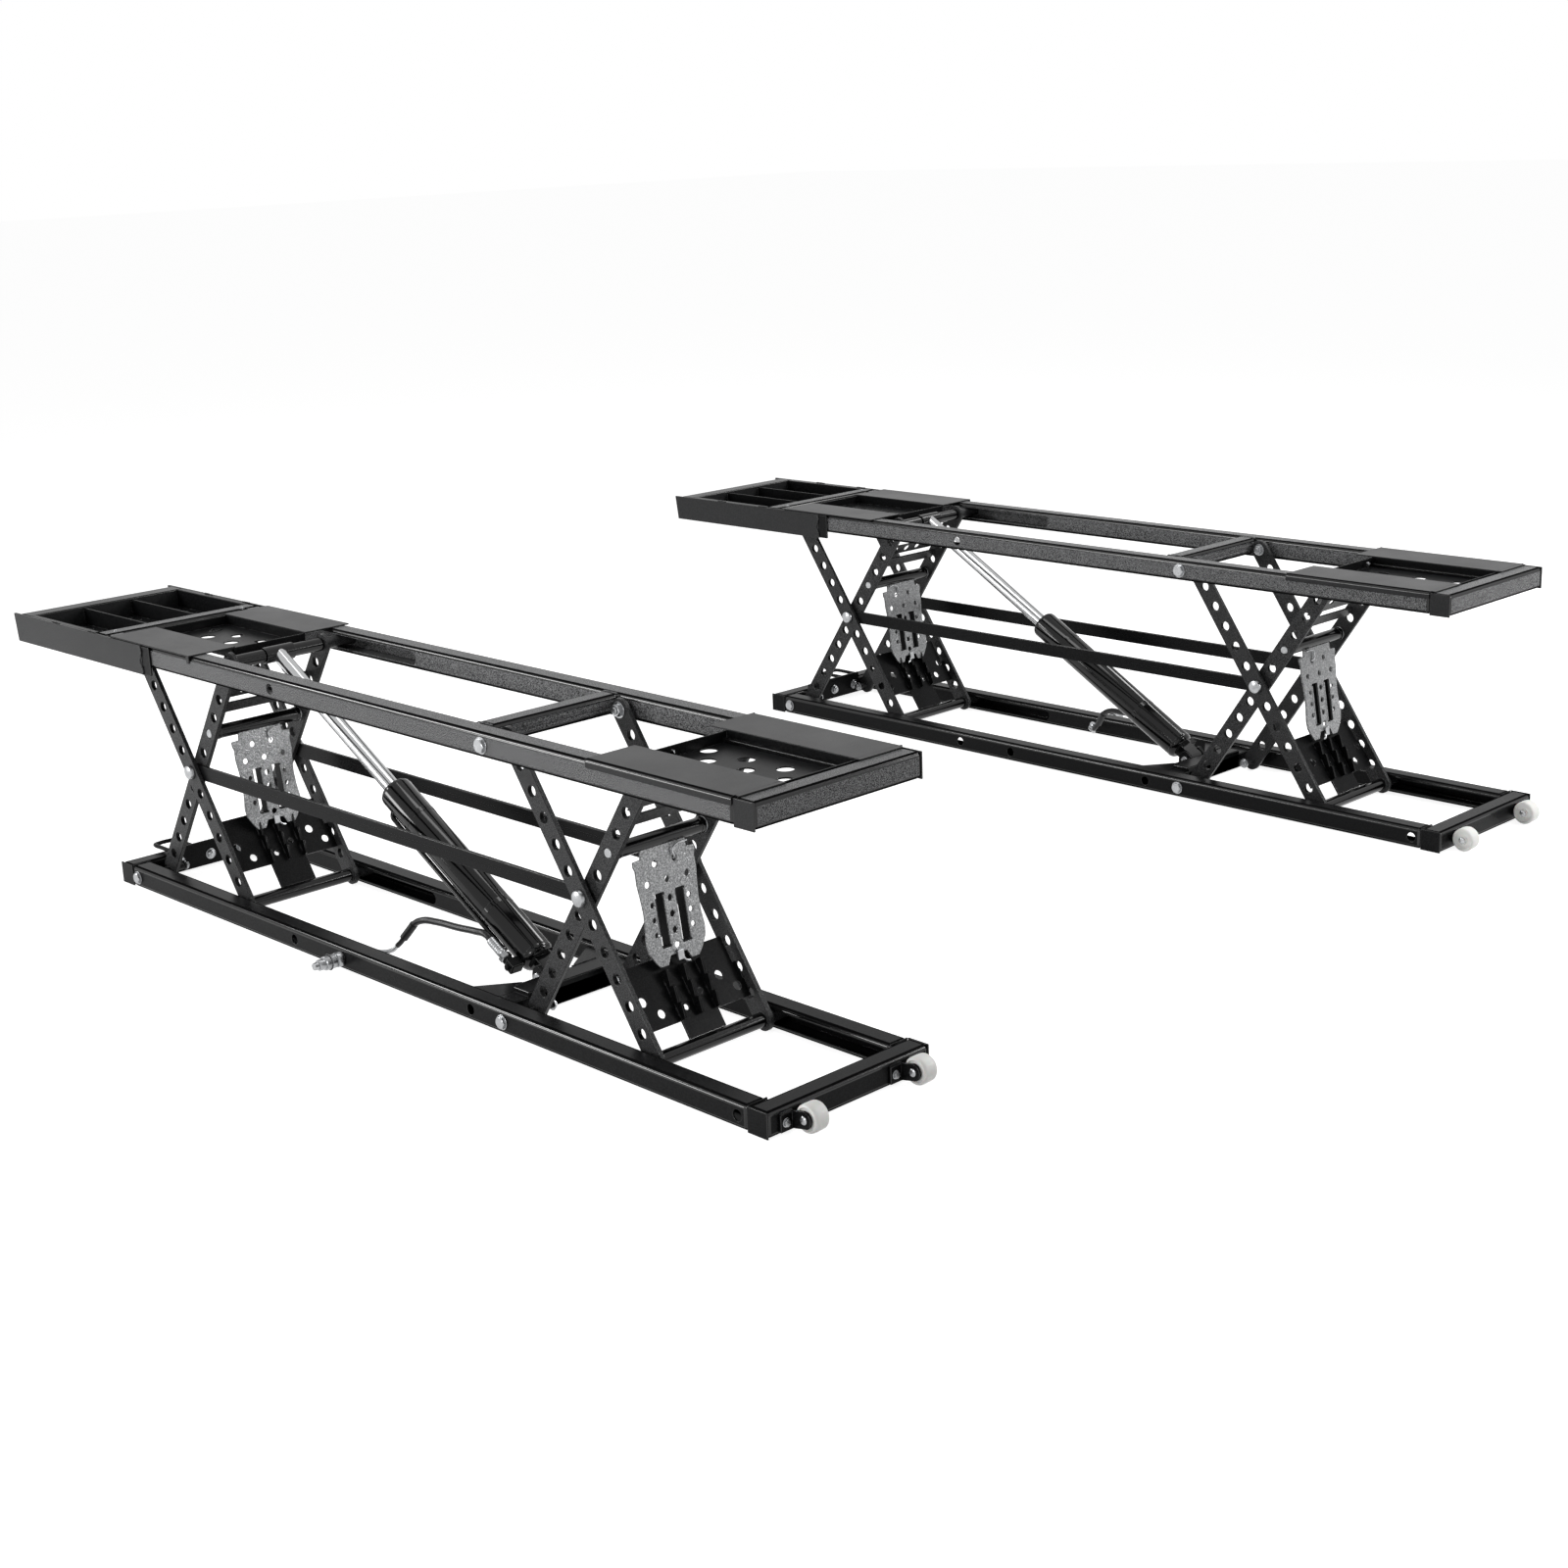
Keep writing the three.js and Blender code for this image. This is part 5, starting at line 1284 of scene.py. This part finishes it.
def bracket(shift):
    x0 = LENGTH + GAP
    arc = [(WHEEL_X + 13.5 * math.cos(a), WHEEL_Z + 13.5 * math.sin(a)) for a in
           (-math.pi / 2 + math.pi * i / 12 for i in range(13))]
    arm = plate([[(x0, 4)] + arc + [(x0, 31)]], [], 4, standing(0, 0, 48 + shift), edge=0.8)
    flange = box(x0, x0 + 4, 22 + shift, 48 + shift, 4, 31, 1)
    seam = [(x0 + 1, 24 + shift, 31.3), (x0 + 1, 46 + shift, 31.3)]
    return [arm, flange, welds([seam], 1.5, 17)]


def bracket_bolts(shift):
    x0 = LENGTH + GAP + 4
    bolt = fasteners(small_bolt, [((x0, 32.4 + shift, 17.5), (1, 0, 0), 1.0)])
    axle = cross_rod(WHEEL_X, WHEEL_Z, 4, 43 + shift, 79 + shift)
    dome = [(0, 0), (0, 6.4), (1, 6.4), (2.4, 4.8), (3, 2.4), (3.1, 0)]
    near = turned(dome, Matrix.Translation((WHEEL_X, 44 + shift, WHEEL_Z)) @ TOWARDS_NEAR, 32, 0)
    far = turned(dome, Matrix.Translation((WHEEL_X, 76 + shift, WHEEL_Z)) @ ACROSS, 32, 0)
    return [bolt, axle, near, far]


def pull_handle():
    """A round bar from the end member's far edge, out past the end and back."""
    def arm(y, inwards):
        steps = ((TUBE - GAP, 0), (20, 0), (0, 0), (-20, 0), (-26, 2.5), (-28, 8))
        return [(x, y + inwards * aside, 47) for x, aside in steps]

    return [tube(arm(85, 1) + arm(131, -1)[::-1], 4, 8, 5)]


# ---- building --------------------------------------------------------------------------------

settle("base_frame", "base", "black_coat", base_frame(), ["base_frame"])
# The top frame takes the lighter-flecked coat as painted light.
settle("top_frame", "deck", "lit_textured_coat", top_frame(), ["top_frame"])
settle("base_end_caps", "base", "black_coat", end_caps(0, 0) + end_caps(LENGTH - TUBE, 0))
settle("deck_end_caps", "deck", "cover_coat", end_caps(LENGTH - TUBE, DECK - TUBE))
settle("rear_tray", "deck", "cover_coat", rear_covers(), ["rear_tray"])
settle("rear_pocket", "deck", "black_coat", pocket(68, REAR_END - 4, 0.118, MIDDLE + 30))
settle("front_tray", "deck", "cover_coat", front_covers(), ["front_tray"])
settle("front_pocket", "deck", "black_coat",
       pocket(FRONT_END - 280, FRONT_END - 10, 0.067, MIDDLE + 22) + front_lips())
settle("end_tray", "deck", "cover_coat", end_tray(), ["end_tray"])
# The tray's inside takes the darker black coat as painted shade; its sides and end bar keep the cover coat.
settle("end_tray_bays", "deck", "black_coat", end_tray_bays())
settle("end_tray_welds", "deck", "gloss_coat", end_tray_welds())
settle("beam_nuts", "base", "zinc",
       [fasteners(lock_nut, [((44, y, 24), (1, 0, 0), 0.85) for y in (98, 165, 232)])])
settle("deck_nuts", "deck", "zinc", [fasteners(
    small_bolt, [((25, 31, DECK), (0, 0, 1), 0.62), ((38, 293, DECK), (0, 0, 1), 0.62),
                 ((LENGTH - 301, 122, DECK - 8), (0, 1, 0), 0.7)])])

for end, pivot, web_args, raised_by in (
        ("left", LEFT, (110, 25, 17), 18), ("right", RIGHT, (85, 45, -1.5), 0)):
    settle(f"inner_legs_{end}", f"inner_{end}", "leg_coat", inner_legs(pivot, *web_args),
           [f"inner_legs_{end}"])
    settle(f"outer_legs_{end}", f"outer_{end}", "leg_coat", outer_legs(pivot), [f"outer_legs_{end}"])
    settle(f"foot_tube_{end}", f"outer_{end}", "gloss_coat", foot_tube(pivot))
    settle(f"lock_ladder_{end}", f"outer_{end}", "black_coat", lock_ladder(pivot, raised_by),
           [f"lock_ladder_{end}"])
    settle(f"lock_strut_{end}", f"strut_{end}", "hammered_grey", strut_plate(pivot), [f"lock_strut_{end}"])
    settle(f"strut_sleeve_{end}", f"strut_{end}", "gloss_coat", strut_sleeve(pivot))
    # The slot walls take black coat as painted shade inside the slots.
    settle(f"strut_channels_{end}", f"strut_{end}", "black_coat", strut_channels(pivot))
    settle(f"strut_hardware_{end}", f"strut_{end}", "zinc", strut_hardware(pivot))
    settle(f"strut_shaft_{end}", f"inner_{end}", "zinc", [
        cross_rod(pivot + HINGE_X, HINGE_Z, 8, INNER_Y - 0.25, WIDTH - INNER_Y + 0.25, 40, 1.2),
    ], [f"strut_shaft_{end}"])
    centre = on_leg(pivot, True, LEG / 2, 0)
    settle(f"inner_bolts_{end}", f"inner_{end}", "zinc", [
        fasteners(pivot_head, two_sides(pivot, -GAP, LOW, 1)),
        fasteners(centre_head, two_sides(centre[0], OUTER_Y - 0.5, centre[2], 1.22)),
        fasteners(lock_nut, two_sides(pivot, 98, LOW, 0.8, inwards=True)),
    ])
    outer_bolts = [fasteners(lock_nut, two_sides(pivot, OUTER_Y + LEG_THICK, HIGH, 0.95, 1.1, inwards=True))]
    if end == "right":
        outer_bolts.append(fasteners(pivot_head, two_sides(pivot, -GAP, HIGH, 1.1)))
    settle(f"outer_bolts_{end}", f"outer_{end}", "zinc", outer_bolts)

settle("link_bars", "link", "black_coat", link_bars(), ["link_bar_near", "link_bar_far"])
settle("cylinder_barrel", "barrel", "gloss_coat", barrel(), ["cylinder_barrel"])
chrome_shaft, rod_eye = rod()
settle("cylinder_rod", "rod", "chrome", chrome_shaft, ["cylinder_rod"])
settle("rod_eye", "rod", "gloss_coat", rod_eye)
settle("rod_pin", "rod", "gloss_coat", rod_pin(), ["rod_pin"])
settle("hose_fitting", "barrel", "zinc", fitting(), ["hose_fitting"])
settle("fitting_block", "barrel", "black_coat", fitting_block())
settle("cylinder_pin", "base", "zinc", [cross_rod(FOOT_X, FOOT_Z, 8, 133, WIDTH - 133, 40, 1)],
       ["cylinder_pin"])
settle("hose", "barrel", "hose_rubber", hose(), ["hose"],
       bends=(HOSE_BEND[0], on_cylinder(HOSE_START + HOSE_STRAIGHT, FITTING_Y, FITTING_BELOW)))
settle("coupler_pipe", "base", "zinc", coupler_pipe())
settle("hose_coupler", "base", "zinc", coupler(), ["hose_coupler"])
settle("pull_handle", "base", "black_coat", pull_handle(), ["pull_handle"])
for corner, y in WHEEL_YS.items():
    shift = y - WHEEL_YS["near"]
    settle(f"wheel_{corner}", f"wheel_{corner}", "white_nylon", wheel(y), [f"wheel_{corner}"])
    settle(f"wheel_bracket_{corner}", "base", "black_coat", bracket(shift), [f"wheel_bracket_{corner}"])
    settle(f"bracket_bolts_{corner}", "base", "zinc", bracket_bolts(shift))

for kind in (pivot_head, centre_head, lock_nut, small_bolt):
    bpy.data.objects.remove(kind)


# ---- camera, light and floor -----------------------------------------------------------------

def aim(obj, place, forward, right):
    forward, right = Vector(forward).normalized(), Vector(right).normalized()
    up = right.cross(forward)
    turn = Matrix((right, up, -forward)).transposed().to_4x4()
    obj.matrix_world = Matrix.Translation(place) @ turn


# The camera that was fitted to the photograph, in metres
camera_data = bpy.data.cameras.new("camera")
camera_data.lens = 53.57
camera_data.sensor_width = 36
camera_data.clip_end = 60
camera = in_scene(bpy.data.objects.new("camera", camera_data))
aim(camera, (3.1862, -3.0269, 1.3603), (-0.69701, 0.66226, -0.27492), (0.69612, 0.71693, -0.03786))
bpy.context.scene.camera = camera


def soft_light(name, place, target, size, power):
    data = bpy.data.lights.new(name, "AREA")
    data.shape = "RECTANGLE"
    data.size, data.size_y = size
    data.energy = power
    lamp = in_scene(bpy.data.objects.new(name, data))
    lamp.location = place
    lamp.rotation_euler = (Vector(target) - Vector(place)).to_track_quat("-Z", "Y").to_euler()


soft_light("overhead", (0.1, -0.1, 3.8), (0, 0, 0.2), (2.4, 0.7), 26)
soft_light("left_key", (-2.5, -2.5, 1.95), (0, -0.6, 0.35), (1.4, 0.45), 38)
soft_light("low_front", (-2.6, -4.2, 1.0), (0, -0.6, 0.25), (1.5, 0.9), 60)
soft_light("back_right", (1.3, 3.2, 3.35), (0, 0, 0.3), (2.4, 0.8), 80)
soft_light("right_end", (2.6, 1.6, 1.3), (1.0, 0.6, 0.4), (0.7, 0.5), 24)
soft_light("near_front", (1.2, -2.6, 0.75), (1.0, -0.9, 0.3), (0.6, 0.4), 10)


def emptied(owner):
    """A world's or material's nodes, cleared, and a mask of what the camera or a clear reflection sees."""
    owner.use_nodes = True
    owner.node_tree.nodes.clear()
    n = Nodes(owner.node_tree)
    rays = n.add("ShaderNodeLightPath").outputs
    seen = n.math("MAXIMUM", rays["Is Camera Ray"], rays["Is Glossy Ray"])
    return n, n.math("MAXIMUM", seen, rays["Is Transmission Ray"])


world = bpy.data.worlds.new("studio")
bpy.context.scene.world = world
n, seen = emptied(world)
strength = n.ramp(seen, 0.0, 1.0, 0.17, 1.0)
background = n.add("ShaderNodeBackground", {"Color": (1, 1, 1, 1), "Strength": strength})
n.add("ShaderNodeOutputWorld", {"Surface": background})

floor_material = bpy.data.materials.new("pale_floor")
n, seen = emptied(floor_material)
glow = n.ramp(seen, 0.0, 1.0, 0.0, 0.86)
diffuse = n.add("ShaderNodeBsdfDiffuse", {"Color": (0.7, 0.7, 0.7, 1)})
emission = n.add("ShaderNodeEmission", {"Color": (1, 1, 1, 1), "Strength": glow})
both_shaders = n.add("ShaderNodeAddShader", {0: diffuse, 1: emission})
n.add("ShaderNodeOutputMaterial", {"Surface": both_shaders})

floor_mesh = bpy.data.meshes.new("floor")
floor_mesh.from_pydata([(-40, -40, 0), (40, -40, 0), (40, 40, 0), (-40, 40, 0)], [], [(0, 1, 2, 3)])
floor_mesh.materials.append(floor_material)
floor = in_scene(bpy.data.objects.new("floor", floor_mesh))
floor.location.z = -0.0005

bpy.context.scene.view_settings.view_transform = "Standard"
